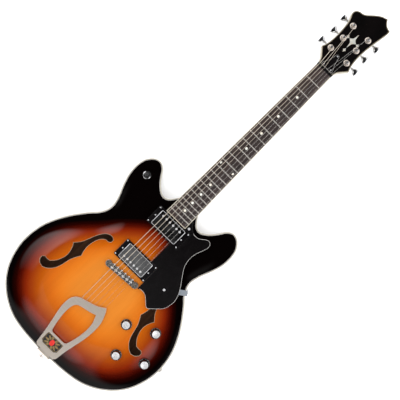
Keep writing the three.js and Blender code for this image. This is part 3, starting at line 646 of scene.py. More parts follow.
def plastic(name, color, sheen_color, low, high):
    made = Recipe(name, Specular_IOR_Level=0.5)
    scuff = made.noise((70, 50, 70), detail=6)
    made.bump(made.noise((900, 900, 900), detail=1), 0.03, 0.00005)
    return made.paint(made.worn(scuff, color, sheen_color, 0.45, 0.75), made.levels(scuff, low, high))


def pearl(name, brightness):
    """Shell with a cloudy play of warm and cool tones."""
    made = Recipe(name, Coat_Weight=0.8, Coat_Roughness=0.04)
    cells = made.node("ShaderNodeTexVoronoi", {"Vector": made.spread((170, 170, 170)), "Scale": 1.0})
    wave = made.noise((220, 220, 220), distortion=1.5)
    shade = made.math("ADD", made.levels(cells.outputs["Distance"], 0, 0.5), made.levels(wave, 0, 0.5))
    tones = [(0.15, (0.52, 0.50, 0.43)), (0.4, (0.79, 0.71, 0.59)), (0.6, (0.69, 0.71, 0.66)),
             (0.85, (1.0, 0.91, 0.78))]
    stops = [(position, [channel * brightness for channel in tone]) for position, tone in tones]
    return made.paint(made.ramp(shade, stops), made.levels(wave, 0.18, 0.3))


def floor_white():
    glow = 0.22  # lifts the soft shadows, as a lit table does
    made = Recipe("floor_white", Specular_IOR_Level=0.0, Roughness=1.0, Emission_Color=(1, 1, 1, 1),
                  Emission_Strength=glow)
    cloud = made.noise((1.5, 1.5, 1.5), detail=2)
    return made.paint(made.ramp(cloud, [(0.3, (0.90,) * 3), (0.7, (0.93,) * 3)]))


BURST = burst_lacquer()
BLACK = black_lacquer()
CREAM = cream_plastic("cream_binding", (0.42, 0.385, 0.31), (0.35, 0.31, 0.24))
TAN_EDGE = cream_plastic("tan_edge", (0.26, 0.215, 0.145), (0.20, 0.16, 0.105))
WHITE_PLY = cream_plastic("white_ply", (0.48, 0.47, 0.45), (0.41, 0.40, 0.38))
ROSEWOOD = rosewood()
RAW_WOOD = bare_wood()
PEARL = pearl("pearl", 0.85)
DULL_PEARL = pearl("dull_pearl", 0.46)
BLACK_PLASTIC = plastic("black_plastic", (0.0022, 0.0018, 0.0020), (0.0034, 0.0028, 0.0031), 0.10, 0.17)
SATIN_BLACK = plastic("satin_black", (0.008, 0.008, 0.009), (0.014, 0.014, 0.015), 0.35, 0.5)
RED_ENAMEL = plastic("red_enamel", (0.50, 0.022, 0.016), (0.34, 0.014, 0.012), 0.12, 0.22)
CHROME = metal("chrome", (0.80, 0.80, 0.81), (0.70, 0.70, 0.72), 0.05, 0.13)
WORN_NICKEL = metal("worn_nickel", (0.66, 0.63, 0.59), (0.48, 0.45, 0.42), 0.20, 0.34, (160,) * 3)
WARM_NICKEL = metal("warm_nickel", (0.60, 0.53, 0.47), (0.44, 0.38, 0.34), 0.12, 0.22, (300,) * 3, 0.9)
SPUN_CAP = metal("spun_cap", (0.84, 0.84, 0.85), (0.40, 0.40, 0.42), 0.18, 0.36, (700,) * 3, 0.62)
SCREW_STEEL = metal("screw_steel", (0.84, 0.84, 0.85), (0.66, 0.66, 0.68), 0.20, 0.34, (400,) * 3, 0.62)
GREY_STEEL = metal("grey_steel", (0.30, 0.33, 0.37), (0.25, 0.28, 0.32), 0.30, 0.42, (50,) * 3, 0.6)
FRET_WIRE = metal("fret_wire", (0.74, 0.71, 0.66), (0.58, 0.55, 0.50), 0.16, 0.30, (200,) * 3)
GOLD_LEAF = metal("gold_leaf", (0.80, 0.56, 0.26), (0.62, 0.42, 0.19), 0.2, 0.35, (200,) * 3)
PLAIN_WIRE = metal("plain_wire", (0.58, 0.56, 0.53), (0.46, 0.44, 0.42), 0.14, 0.24, (300, 40, 300))
SATIN_NICKEL = metal("satin_nickel", (0.97, 0.86, 0.76), (0.89, 0.79, 0.69), 0.32, 0.44, (25, 400, 25), 1,
                     0.08)
WOUND_WIRE = wound_wire("wound_wire", (0.74, 0.66, 0.55), (0.58, 0.50, 0.41), 700)


# ---- Body

OUTLINE = smooth(section("rim", (0, 0, extent("rim")[0][2] + 6), UP)[0], step=3.0, corner=40)
TOP_EDGE = extent("top_plate")[1][2] - ARCH
BACK_EDGE = extent("back_plate")[0][2] + ARCH
BINDING = 1.7  # width of the cream strip
BINDING_DEPTH = 6.2  # its height down the side
PURFLING = 0.6  # width of each thin line inside it
F_HOLE_LIP = 0.5
BURST_REACH = 130.0  # from the edge to full amber
BURST_MID = 45.0  # from the edge to the red of the shading
BURST_APEX = 140.0  # how far up the middle that red reaches over the wide part
BURST_SLOPE = 0.95  # how fast the shading deepens up the neck
BURST_TIP = 35.0  # rounds the apex
BURST_BLEND = 8.0
WAIST = 5.0  # level along the neck where the dark shading at the sides is narrowest
WAIST_GAIN = 0.2  # by this share
WAIST_LENGTH = 50.0  # and over this length


def edge_distance(points):
    """Smooth distance to the body's outline, as the plates' arch uses it."""
    ends = np.roll(OUTLINE, -1, 0)
    total = np.zeros(len(points))
    for (x, y), length in zip((ends + OUTLINE) / 2, np.linalg.norm(ends - OUTLINE, axis=1)):
        total += length / np.maximum(np.hypot(points[:, 0] - x, points[:, 1] - y), 1) ** 6
    return (3 * math.pi / 8 / total) ** 0.2


def ease(t):
    t = np.clip(t, 0, 1)
    return t * t * (3 - 2 * t)


def rise(points):
    """Height of the arch over the plate's edge, which comes up more slowly in the horns."""
    x, y = points.T
    in_horn = ease((y - 20) / 80)
    on_treble = ease((x - 40) / 60) * (1 - in_horn)
    reach = ARCH_REACH + HORN_REACH * in_horn + TREBLE_REACH * on_treble
    return ARCH * ease(edge_distance(points) / reach) * inside(points, OUTLINE)


def top_height(points, below=0.0):
    return TOP_EDGE + rise(points) - below


def back_height(points, over=0.0):
    return BACK_EDGE - rise(points) + over


def burst_value(points):
    """0 in the black shading at the edges and horns, 1 in the amber middle."""
    x, y = points.T
    from_edge = edge_distance(points) * (1 + WAIST_GAIN * np.exp(-(((y - WAIST) / WAIST_LENGTH) ** 2)))
    from_shoulders = BURST_MID + (BURST_APEX - BURST_SLOPE * y - np.hypot(x, BURST_TIP))
    nearest = -BURST_BLEND * np.logaddexp(-from_edge / BURST_BLEND, -from_shoulders / BURST_BLEND)
    return np.clip(nearest / BURST_REACH, 0, 1)


def plate(name, outline, holes, low, high, spacing, material, **how):
    """A curved plate with a lattice of points over it."""
    return piece(name, *prism(outline, holes, low, high, spacing), material, creases=50, **how)


def is_f_hole(loop):
    """Whether a cut in the top is off to the side and neither a screw hole nor the outline."""
    return abs(loop[:, 0].mean()) > 60 and 1500 < abs(area_of(loop)) < 20000


def body_shell():
    cuts = wall_outlines("top_plate")
    f_holes = [smooth(p, step=1.6, corner=38) for p in cuts if is_f_hole(p)]
    middles = [np.mean(extent(f"{k}_pickup"), axis=0)[1] for k in ("neck", "bridge")]
    pockets = [rounded_rectangle(80, 41, 2, (0, y)) for y in middles]
    start = extent("fingerboard")[0][1] + 8
    neck_slot = np.array([[-27, start], [27, start], [27, start + 24], [-27, start + 24]])
    holes = [*(inset(p, -F_HOLE_LIP) for p in f_holes), *pockets, neck_slot]
    dark_end, light_end, depth = BINDING + PURFLING, BINDING + 2 * PURFLING, BINDING_DEPTH
    top = plate("top", inset(OUTLINE, light_end), holes, lambda p: top_height(p, PLATE), top_height, 4.0,
                BURST, stands_for=["top_plate"], slot="burst_top")
    plane = np.array([v.co[:2] for v in top.data.vertices]) / MM
    shading = top.data.attributes.new("burst", "FLOAT", "POINT")
    shading.data.foreach_set("value", burst_value(plane).astype(np.float32))
    lip = [(-F_HOLE_LIP, 0.1), (0, 0.1), (0.15, 0), (0.15, -PLATE), (-F_HOLE_LIP, -PLATE)]
    for side, loop in zip("ab", f_holes):
        swept(f"f_hole_binding_{side}", loop, lip, top_height, TAN_EDGE)

    plate("back", inset(OUTLINE, dark_end), [], back_height, lambda p: back_height(p, PLATE), 6.0, BLACK,
          stands_for=["back_plate"], slot="black_lacquer")
    block_side = extent("centre_block")[1][0] + 2
    for side, label in ((-1, "bass"), (1, "treble")):
        chamber = above(inset(OUTLINE, RIM_WALL + 2)[:, ::-1] * (1, side), block_side)[:, ::-1] * (side, 1)
        plate(f"inside_of_back_{label}", smooth(chamber, step=6, corner=20), [],
              lambda p: back_height(p, PLATE + 0.1), lambda p: back_height(p, PLATE + 0.6), 9.0, RAW_WOOD,
              slot="raw_wood")
    middle = (TOP_EDGE + BACK_EDGE) / 2
    half = (TOP_EDGE - BACK_EDGE) / 2 - depth
    wall = [(0, -half), (2.5, -half - 1.5), (2.5, half + 1.5), (0, half)]
    swept("rim_outer", OUTLINE, wall, middle, BLACK, stands_for=["rim"], slot="black_lacquer", creases=30)
    lining = [(2.6, -half - 1.4), (RIM_WALL, -half - 1.4), (RIM_WALL, half + 1.4), (2.6, half + 1.4)]
    swept("rim_lining", OUTLINE, lining, middle, RAW_WOOD, slot="raw_wood")

    line = depth + 0.55
    cream = [(0, -depth), (0, -0.9), (0.25, -0.3), (0.9, 0), (BINDING, 0.05), (BINDING, -depth)]
    strips = {
        "binding": (CREAM, cream),
        "purfling_dark": (SATIN_BLACK, [(BINDING, 0.07), (dark_end, 0.09), (dark_end, -3), (BINDING, -3)]),
        "purfling_light": (WHITE_PLY, [(dark_end, 0.09), (light_end, 0.1), (light_end, -3), (dark_end, -3)]),
        "side_line": (SATIN_BLACK, [(0, 0.5 - line), (0, -line), (2, -line), (2, 0.5 - line)]),
    }
    for name, level, up in (("top", TOP_EDGE, 1), ("back", BACK_EDGE, -1)):
        for label, (material, profile) in strips.items():
            if (name, label) != ("back", "purfling_light"):
                turned_over = [(d, h * up) for d, h in profile][::-up]
                swept(f"{name}_{label}", OUTLINE, turned_over, level, material, creases=50)


# ---- Neck and fingerboard

BOARD_LOOP = section("fingerboard", (0, 0, 0), ACROSS)[0]
BOARD_TOP_LINE = BOARD_LOOP[BOARD_LOOP[:, 2] > np.interp(
    BOARD_LOOP[:, 1], [BOARD_LOOP[:, 1].min(), BOARD_LOOP[:, 1].max()],
    [extent("fingerboard")[1][2] - 3, extent("nut")[0][2] + 3],
)]
BOARD_START = BOARD_TOP_LINE[BOARD_TOP_LINE[:, 1].argmin()]
BOARD_STOP = BOARD_TOP_LINE[BOARD_TOP_LINE[:, 1].argmax()]
BOARD_LENGTH = float(np.linalg.norm(BOARD_STOP - BOARD_START))
NECK_AT = place(BOARD_START, ACROSS.cross(Vector(BOARD_STOP - BOARD_START)))
BOARD_THICK = 6.0
BOARD_BINDING = 1.7
DOTTED = (3, 5, 7, 9, 12, 15, 17, 19, 21)
FRET_HALF = 1.25  # half the width of a fret's crown
FRET_TALL = 1.05
SIDE_DOT_LEVEL = -2.6  # under the fingerboard's face
HEEL = [(43, 3.4), (50, 3.2), (60, 2.8), (72, 2.4), (88, 2.2)]  # distance along the neck and fullness
SHAFT = [(120, 2.1), (240, 2.1), (360, 2.1), (BOARD_LENGTH - 4, 2.1)]


def half_width_at(v):
    """Half the fingerboard's width at a distance along it."""
    wide, narrow = extent("fingerboard")[1][0], extent("nut")[1][0]
    return wide + (narrow - wide) * v / BOARD_LENGTH


def crown(x):
    return math.sqrt(BOARD_RADIUS**2 - x * x) - BOARD_RADIUS


def board_section(v, half):
    xs = np.linspace(half, -half, 17)
    return [(x, v, crown(x)) for x in xs] + [(-half, v, -BOARD_THICK), (half, v, -BOARD_THICK)]


def board_edge(v, side):
    """A section of the fingerboard's binding."""
    half = half_width_at(v)
    inner = half - BOARD_BINDING
    ring = [(inner, -BOARD_THICK), (half, -BOARD_THICK), (half, crown(half) - 0.5), (half - 0.5, crown(half)),
            (inner, crown(inner))]
    return [(side * x, v, z) for x, z in ring][::-side]


def fret(v):
    half = half_width_at(v) - 0.4
    rings = []
    for x in np.linspace(-half, half, 13):
        tall = FRET_TALL * (0.55 if abs(x) > half - 0.1 else 1.0)
        arc = [(x, v + FRET_HALF * math.cos(a), crown(x) + tall * math.sin(a))
               for a in np.linspace(0, math.pi, 9)]
        rings.append([*arc, (x, v - 0.3, crown(x) - 1.5), (x, v + 0.3, crown(x) - 1.5)][::-1])
    return skin(rings)


def fingerboard():
    stations = np.linspace(1.6, BOARD_LENGTH, 40)
    board = skin([board_section(v, half_width_at(v) - BOARD_BINDING) for v in stations])
    piece("fingerboard_wood", *board, ROSEWOOD, stands_for=["fingerboard"], slot="fingerboard_wood",
          at=NECK_AT)
    strips = [skin([board_edge(v, side) for v in np.linspace(0, BOARD_LENGTH, 12)]) for side in (-1, 1)]
    strips.append(skin([board_section(v, half_width_at(0) - 0.2) for v in (0.0, 1.6)]))
    joined("fingerboard_binding", strips, CREAM, at=NECK_AT)

    fret_lines = [BOARD_LENGTH + 0.3 - SCALE * (1 - 2 ** (-number / 12)) for number in range(FRETS + 1)]
    joined("frets", [fret(v) for v in fret_lines[1:]], FRET_WIRE, at=NECK_AT)
    dots = []
    for number in DOTTED:
        middle = fret_lines[number] + SCALE * 2 ** (-number / 12) * (2 ** (1 / 12) - 1) / 2
        dot, faces = turned([(2.9, -0.8), (2.9, 0.04), (0.0, 0.06)], 28)
        dots += [(dot + (x, middle, crown(x)), faces) for x in ((-17.5, 17.5) if number == 12 else (0,))]
        in_side = shifted(HERE, -half_width_at(middle), middle, SIDE_DOT_LEVEL)
        in_side = in_side @ Matrix.Rotation(-math.pi / 2, 4, "Y")
        dots.append((*turned([(0.0, -0.15), (1.0, -0.15), (1.0, 0.08), (0.0, 0.1)], 16), in_side))
    joined("position_dots", dots, PEARL, at=NECK_AT)
    copied("nut", BLACK_PLASTIC, 0.35, slot="black_plastic")


def neck_ring(v, fullness, sides=36):
    """A section under the board, as big as the CAD's: fullness 2 is half an ellipse, more is squarer."""
    along = NECK_AT.to_3x3() @ Vector((0, 1, 0))
    cut = local(section("neck", NECK_AT @ Vector((0, v, 0)), along)[0], NECK_AT)
    half, top, depth = cut[:, 0].max(), cut[:, 2].max(), np.ptp(cut[:, 2])
    turns = np.linspace(0, math.pi, sides)
    across = np.sign(np.cos(turns)) * np.abs(np.cos(turns)) ** (2 / fullness)
    down = np.abs(np.sin(turns)) ** (2 / fullness)
    return np.stack([half * across, np.full(sides, v), top - depth * down], axis=1)


def neck_shaft():
    rings = [neck_ring(v, fullness) for v, fullness in HEEL + SHAFT]
    under_nut = rings[-1] + (0, 9, 0)
    top = under_nut[:, 2].max()
    under_head = (rings[-1] - (0, 0, top)) * (0.92, 1, 0.72) + (0, 33, top - 5.5)
    rings = np.array([*rings, under_nut, under_head])
    dense = spline(rings.reshape(len(rings), -1), 30).reshape(-1, *rings.shape[1:])
    dense = np.vstack([dense, rings[-1:]])
    piece("neck_shaft", *skin([ring[::-1] for ring in dense]), BLACK, stands_for=["neck"],
          slot="black_lacquer", at=NECK_AT, creases=45)
    middle = (0, extent("neck")[0][1] + 22.5)
    tongue, tenon = rounded_rectangle(55.4, 45, 1.5, middle), rounded_rectangle(43.8, 44, 1.5, middle)
    slab("neck_tongue", tongue, 49, extent("neck")[1][2], BLACK, bevel=0.8)
    slab("neck_tenon", tenon, 40.4, 49, RAW_WOOD, bevel=0.8, slot="raw_wood")


# ---- Headstock

POSTS = {n: joint_place(f"tuner_{n}_post_turn") for n in range(1, 7)}
HEAD_NORMAL = z_of(POSTS[1])
NEAREST_POST = 43.5  # from the nut, along the face
HEAD_FOOT = POSTS[1].translation * Vector((0, 1, 1)) - HEAD_NORMAL.cross(ACROSS) * NEAREST_POST
HEAD_AT = place(HEAD_FOOT, HEAD_NORMAL)
HEAD_THICK = 14.0
HEAD_BINDING = 0.9
HEAD_LINE = (1.6, 2.2)  # a thin ply inside it, from and to
INLAY = [(42, 19, (0, 90), 2.4), (13, 8, (0, 62), 1.8), (11, 9, (-14.5, 90), 1.8), (11, 9, (14.5, 90), 1.8)]
BARREL = [(2.95, -23), (2.95, 2.8), (3.0, 3.2), (2.5, 4.0), (2.5, 7.8), (3.0, 8.8), (3.0, 10.3), (2.6, 10.9),
          (1.2, 11.0), (1.0, 9.6), (0.0, 9.6)]
WASHER = [(7.1, 0.05), (7.3, 0.5), (7.0, 0.8), (5.2, 1.5), (3.3, 1.5)]
BUSHING_NUT = [(5.4, 1.2), (5.4, 2.1), (4.6, 2.7), (3.5, 2.7), (3.4, 1.6)]
KEY_COLLAR = [(4.0, 7.6), (4.2, 8.2), (4.2, 10.2), (3.4, 11.0), (2.3, 11.0)]
KEY_STEM = [(2.0, 8.0), (2.9, 8.6), (2.9, 12.4), (2.5, 13.0), (2.5, 17.5), (3.4, 19.4), (3.4, 21.4)]
BUTTON_SECTIONS = [  # distance out from the key's joint, half width, half thickness
    (18.9, 2.0, 1.6), (19.6, 3.4, 2.4), (22.5, 5.0, 2.7), (26.0, 8.2, 3.2),
    (30.0, 10.2, 3.3), (32.6, 9.8, 2.9), (34.0, 7.6, 2.0), (34.5, 4.0, 1.0),
]
BUTTON_FLATNESS = 0.7  # 1 is an ellipse, less is flatter above and below


def lozenge(height, width, middle, hollow):
    """A diamond whose sides curve inwards."""
    angles = np.concatenate([np.linspace(0, math.pi / 2, 9)[:-1] + turn * math.pi / 2 for turn in range(4)])
    size = 1 / (np.abs(np.cos(angles)) + np.abs(np.sin(angles))) ** hollow
    return ring_of(angles, width / 2, height / 2) * size[:, None] + middle


def headstock():
    cut = above(local(section("neck", HEAD_AT @ Vector((0, 0, -4)), HEAD_NORMAL)[0], HEAD_AT)[:, :2], -1)
    outline = smooth(cut, step=1.5, corner=28)
    slab("headstock_wood", inset(outline, 0.5), -HEAD_THICK, -0.4, BLACK, at=HEAD_AT, slot="black_lacquer")
    slab("headstock_face", inset(outline, HEAD_BINDING), -0.5, 0.0, BLACK, at=HEAD_AT)
    foot = 0.6 - HEAD_THICK
    strip = [(0, foot), (0, -0.4), (0.4, 0.02), (HEAD_BINDING, 0.02), (HEAD_BINDING, foot)]
    swept("headstock_binding", outline, strip, 0, CREAM, at=HEAD_AT, creases=50)
    near, far = HEAD_LINE
    line = [(near, -0.3), (near, 0.03), (far, 0.03), (far, -0.3)]
    swept("headstock_purfling", outline, line, 0, TAN_EDGE, at=HEAD_AT, creases=50)

    bell = smooth(local(section("truss_rod_cover", HEAD_AT @ UP, HEAD_NORMAL)[0], HEAD_AT), step=1.0)
    slab("truss_cover_ply", bell, 0.05, 1.4, WHITE_PLY, bevel=0.15, at=HEAD_AT,
         stands_for=["truss_rod_cover"])
    slab("truss_cover_face", inset(bell, 0.5), 1.4, 2.3, BLACK_PLASTIC, bevel=0.3, at=HEAD_AT,
         slot="black_plastic")
    spots = [shifted(HEAD_AT, x, y, 2.2) for x, y in ((-10.4, 5.2), (10.4, 5.2), (0, 39))]
    screws("truss_cover_screws", spots, 1.7, 0.9, 4, SCREW_STEEL)
    joined("headstock_inlay", [(*prism(lozenge(*s), [], -0.3, 0.06), HEAD_AT) for s in INLAY], DULL_PEARL)


def tuners():
    turns = around(32)
    flattened = np.sign(np.cos(turns)) * np.abs(np.cos(turns)) ** BUTTON_FLATNESS
    button = skin([
        np.stack([thick * flattened, wide * np.sin(turns), np.full(32, out)], axis=1)
        for out, wide, thick in spline(np.array(BUTTON_SECTIONS), 0.7)
    ])
    case = rounded_rectangle(17, 18.5, 3.5, (0, 1.75))
    washers = []
    for n, at in POSTS.items():
        key_at = joint_place(f"tuner_{n}_key_turn", HEAD_NORMAL)
        nodes = (f"tuner_{n}_post", f"tuner_{n}_key")
        post, key = ({"body": node, "stands_for": [node]} for node in nodes)
        lathe(f"tuner_{n}_barrel", BARREL, CHROME, 32, at=at, slot="chrome", **post)
        washers += [(*turned(WASHER, 40), at), (*turned(BUSHING_NUT, 6), at)]
        slab(f"tuner_{n}_case", case, -25.6, -HEAD_THICK - 0.05, CHROME, bevel=2.2, segments=4, at=at,
             stands_for=[f"tuner_{n}_housing"], slot="chrome")
        lathe(f"tuner_{n}_collar", KEY_COLLAR, CHROME, 32, at=key_at)
        lathe(f"tuner_{n}_stem", KEY_STEM, CHROME, 32, at=key_at, slot="chrome", **key)
        piece(f"tuner_{n}_button", *button, CHROME, at=key_at, body=key["body"])
    joined("tuner_bushings", washers, WARM_NICKEL, creases=30)


# ---- Pickups, their rings and screws

POLE_SPOTS = (np.arange(6) - 2.5) * 10.0  # across, from the middle
POLE_ROW = 10.2  # from the pickup's middle line
RING_SEAT = 2.5  # how far a ring's foot is let into the arched top


def pickup(name, pole_side):
    body = f"{name}_pickup"
    low, high = extent(body)
    ring_low, ring_high = extent(f"{name}_pickup_ring")
    at = shifted(HERE, 0, (low[1] + high[1]) / 2)
    opening, outer = rounded_rectangle(71.6, 39.4, 3), rounded_rectangle(92, 45.2, 2.2)
    slab(f"{name}_ring", outer, ring_low[2] - RING_SEAT, ring_high[2], BLACK_PLASTIC, holes=[opening],
         bevel=0.9, at=at, stands_for=[f"{name}_pickup_ring"], slot="black_plastic")
    slab(f"{name}_cover", rounded_rectangle(70.5, 38.3, 3.2), low[2] + 1.6, high[2], CHROME, bevel=1.3,
         segments=4, at=at, body=body, stands_for=[body], slot="chrome")
    poles = [shifted(at, x, pole_side * POLE_ROW, high[2] - 0.25, 0.4 + 1.3 * i)
             for i, x in enumerate(POLE_SPOTS)]
    screws(f"{name}_poles", poles, 2.4, 0.9, 2, SCREW_STEEL, body=body)
    spots = [(x, y) for x in (-42.8, 42.8) for y in (-19.4, 19.4)] + [(-39.6, 0), (39.6, 0)]
    held = [shifted(at, x, y, ring_high[2] - 0.15, 0.3 * i) for i, (x, y) in enumerate(spots)]
    screws(f"{name}_ring_screws", held, 1.7, 1.0, 4, SCREW_STEEL)


# ---- Bridge

BRIDGE_LOW, BRIDGE_HIGH = extent("bridge_bar")
STUDS = {side: joint_place(f"bridge_stud_{side}_turn").translation for side in ("bass", "treble")}
BRIDGE_FOOT = (STUDS["bass"] + STUDS["treble"]) / 2 * Vector((1, 1, 0))
BRIDGE_AT = place(BRIDGE_FOOT, UP, STUDS["treble"] - STUDS["bass"])
WHEEL_GAP = 0.3  # under the bridge
SADDLE_SCREW = [(1.9, 0.4), (2.1, 0.8), (2.1, 2.0), (1.8, 2.4), (0.6, 2.4), (0.5, 1.9), (0, 1.9)]


def bridge():
    copied("bridge_bar", WORN_NICKEL, 0.8, body="bridge", slot="nickel")
    heads, rods = [], []
    to_tail = Matrix.Rotation(-math.pi / 2, 4, "X")
    for n in range(1, 7):
        x = local([np.mean(extent(f"saddle_{n}"), axis=0)], BRIDGE_AT)[0][0]
        front, back = (shifted(BRIDGE_AT, x, y, BRIDGE_HIGH[2] - 2.6) @ to_tail for y in (5.6, -5.0))
        heads.append((*turned(SADDLE_SCREW, 20), front))
        rods.append((*turned([(0.9, 0), (0.9, 10.6)], 12), back))
        copied(f"saddle_{n}", SCREW_STEEL, 0.3, body=f"saddle_{n}", slot="nickel")
    joined("intonation_screw_heads", heads, SCREW_STEEL, body="bridge")
    joined("intonation_screw_rods", rods, CHROME, body="bridge")
    for side, spot in STUDS.items():
        body = f"bridge_stud_{side}"
        foot, tip = extent(body)[0][2], extent(body)[1][2]
        wheel = BRIDGE_LOW[2] - WHEEL_GAP
        profile = [(3.9, foot), (3.9, wheel - 2.0), (7.6, wheel - 2.0), (8.2, wheel - 1.5),
                   (8.2, wheel - 0.4), (7.6, wheel), (3.1, wheel), (3.1, tip - 0.5), (2.7, tip), (0, tip)]
        lathe(f"{body}_wheel", profile, WORN_NICKEL, 96, ripple=(24, 0.5, wheel - 1.6, wheel - 0.3),
              at=shifted(HERE, spot.x, spot.y), body=body, stands_for=[body], slot="nickel")
        head = shifted(HERE, spot.x, spot.y, tip - 0.5)
        screws(f"{body}_head", [head], 3.2, 1.0, 2, WORN_NICKEL, body=body)


# ---- Tailpiece

TAIL_THICK = 4.0
HINGE_RADIUS = 3.6  # of the knuckle round the pin
HINGE = [(2.0, -14), (3.2, -13.9), (3.6, -13.4), (3.6, 13.4), (3.2, 13.9), (2.0, 14)]
# turn, distance and length of each
PETALS = [(0, 14, 11), (0.5, 13, 11), (-0.5, 13, 11), (1.0, 10.8, 8), (-1.0, 10.8, 8)]


def tail_frame():
    """The tailpiece's own frame: x across, z off its upper face."""
    arm = section("tailpiece", (35, 0, 0), ACROSS)[0]
    tops = []
    for end in (arm[arm[:, 1].argmin()], arm[arm[:, 1].argmax()]):
        near = arm[np.linalg.norm(arm - end, axis=1) < 6]
        tops.append(near[near[:, 2].argmax()])
    slope = Vector(tops[1] - tops[0]) * Vector((0, 1, 1))
    return place((0, *tops[0][1:]), ACROSS.cross(slope))


def petal(turn, out, length, middle):
    angles = around(24)
    taper = np.column_stack([np.ones(24), 1 - 0.35 * np.cos(angles)])
    shape = ring_of(angles, length / 2, 2.2) * taper + (out, 0)
    c, s = math.cos(turn), math.sin(turn)
    return shape @ np.array([[c, s], [-s, c]]) + middle


def tailpiece():
    at = tail_frame()
    cuts = section("tailpiece", at @ Vector((0, 0, -0.8)), z_of(at))
    loops = [smooth(local(p, at), step=1.6) for p in cuts if len(p) > 4]
    outer, *holes = sorted(loops, key=lambda p: -area_of(p))[:3]
    slab("tailpiece_frame", outer, -TAIL_THICK, 0.0, SATIN_NICKEL, holes=holes, bevel=1.1, segments=4, at=at,
         stands_for=["tailpiece"], slot="nickel")
    badge = holes[1]
    slab("badge_floor", inset(badge, -0.4), -3.2, -1.6, SATIN_BLACK, at=at)
    middle = (badge.max(0) + badge.min(0)) / 2
    gold = [prism(inset(badge, 1.0), [inset(badge, 1.9)], -1.7, -1.2)]
    for side in (0, math.pi):
        petals = [petal(side + turn, out, length, middle) for turn, out, length in PETALS]
        gold += [prism(loop, [], -1.7, -1.1) for loop in petals]
    joined("badge_petals", [(*g, at) for g in gold], GOLD_LEAF)
    slab("badge_centre", ring_of(around(40), 5.6, 7.28) + middle, -1.7, -0.9, RED_ENAMEL, bevel=0.4, at=at)

    copied("tailpiece_bracket", SATIN_NICKEL, 0.6, slot="nickel")
    knuckle = section("tailpiece", (0, 0, 0), ACROSS)[0]
    rear = knuckle[knuckle[:, 1] < at.translation.y + 4]
    rear = rear[rear[:, 1] < rear[:, 1].min() + 7.4]
    y, z = rear[:, 1].min() + HINGE_RADIUS, rear[:, 2].min() + HINGE_RADIUS
    across = Matrix.Translation((0, y, z)) @ Matrix.Rotation(math.pi / 2, 4, "Y")
    tongue = block((28, 9.5, 2.4), (0, y + 5.2, z + 2.2))
    joined("tailpiece_hinge", [(*turned(HINGE, 32), across), tongue], SATIN_NICKEL)
    bracket_face = place((0, extent("tailpiece_bracket")[0][1] + 0.1, 0), (0, -1, 0))
    spots = [shifted(bracket_face, x, z) for x, z in ((-11, 20), (11, 20), (-11, 46), (11, 46))]
    screws("bracket_screws", spots, 3.0, 1.6, 4, CHROME)


# ---- Pickguard


def pickguard():
    low, high = extent("pickguard")[0][2], extent("pickguard")[1][2]
    ring_x, ring_y = extent("bridge_pickup_ring")[1][:2] + 3
    cut = smooth(section("pickguard", (0, 0, (low + high) / 2), UP)[0], step=1.5)
    square_cut = (cut[:, 0] < ring_x)[:, None]
    by_bridge = (cut[:, 1] < ring_y)[:, None]
    snug = np.where(by_bridge, inset(cut, -1.1), inset(cut, -0.25))
    ply, face, lower = (
        np.where(square_cut, beside_rings, inset(cut, elsewhere))
        for beside_rings, elsewhere in ((inset(cut, 0.7), 0.05), (snug, 0.75), (snug, 0.3))
    )
    slab("guard_lower", lower, low, low + 0.9, BLACK_PLASTIC, stands_for=["pickguard"], slot="guard_plastic")
    slab("guard_ply", ply, low + 0.9, high - 0.9, WHITE_PLY)
    slab("guard_face", face, high - 0.9, high, BLACK_PLASTIC, bevel=0.4)
    spots = [shifted(HERE, x, y, high - 0.1, 0.5) for x, y in ((34.9, 170.2), (90.1, 36.7))]
    screws("guard_screws", spots, 2.9, 1.5, 4, SCREW_STEEL)
    copied("pickguard_bracket", GREY_STEEL, 0.4, slot="nickel")
    corner = extent("pickguard_bracket")[1]
    off_rim = Vector((29.3, 41.1, 0)).normalized().cross(UP)
    spot = place((corner[0] - 3.0, corner[1] - 6.0, 38), off_rim, UP)
    screws("bracket_screw", [spot], 3.0, 1.6, 4, SCREW_STEEL)


# ---- Controls, output jack and strap buttons

BUTTON_HEIGHT = 13.2  # of a strap button, at the strap's end
KNOB_SKIRT = [(2.9, -8), (2.9, 2.9), (11.4, 2.9), (12.2, 3.2), (12.3, 4.3), (11.6, 4.9), (10.0, 5.6),
              (9.55, 6.4), (9.1, 15.0), (8.8, 15.6), (8.1, 15.7)]
KNOB_CAP = [(8.3, 15.6), (8.3, 16.4), (7.9, 16.7), (7.1, 16.55), (4.0, 16.1), (0, 15.95)]
SWITCH_RING = [(6.0, -2), (6.0, 2.6), (8.9, 2.6), (9.2, 2.9), (9.2, 4.6), (8.8, 5.2), (7.6, 5.6), (6.2, 5.6),
               (5.2, 5.0), (4.9, 2.0), (3.2, -2)]
SWITCH_TIP = [(1.3, 7.4), (2.9, 7.6), (3.5, 8.8), (4.1, 11.5), (4.45, 15.0), (4.1, 17.8), (2.8, 19.4),
              (0, 20.0)]
JACK_WASHER = [(3.4, -20), (4.8, -20), (4.8, 0.1), (9.0, 0.1), (9.2, 0.5), (8.8, 1.3), (3.4, 1.3)]
JACK_NUT = [(4.7, 1.3), (6.4, 1.3), (6.9, 1.8), (6.9, 3.4), (6.4, 3.9), (4.7, 3.9)]
JACK_LIP = [(3.4, 1.3), (4.6, 1.3), (4.6, 4.9), (4.2, 5.2), (3.7, 5.2), (3.4, 4.9)]
STRAP_BUTTON = [(6.0, 0), (6.2, 0.4), (5.8, 1.3), (4.0, 2.4), (3.4, 3.6), (3.4, 7.4), (4.2, 9.0), (6.8, 10.3),
                (7.3, 11.2), (7.2, 12.2), (6.2, 12.9), (3.4, BUTTON_HEIGHT), (3.2, 12.4), (0, 12.4)]


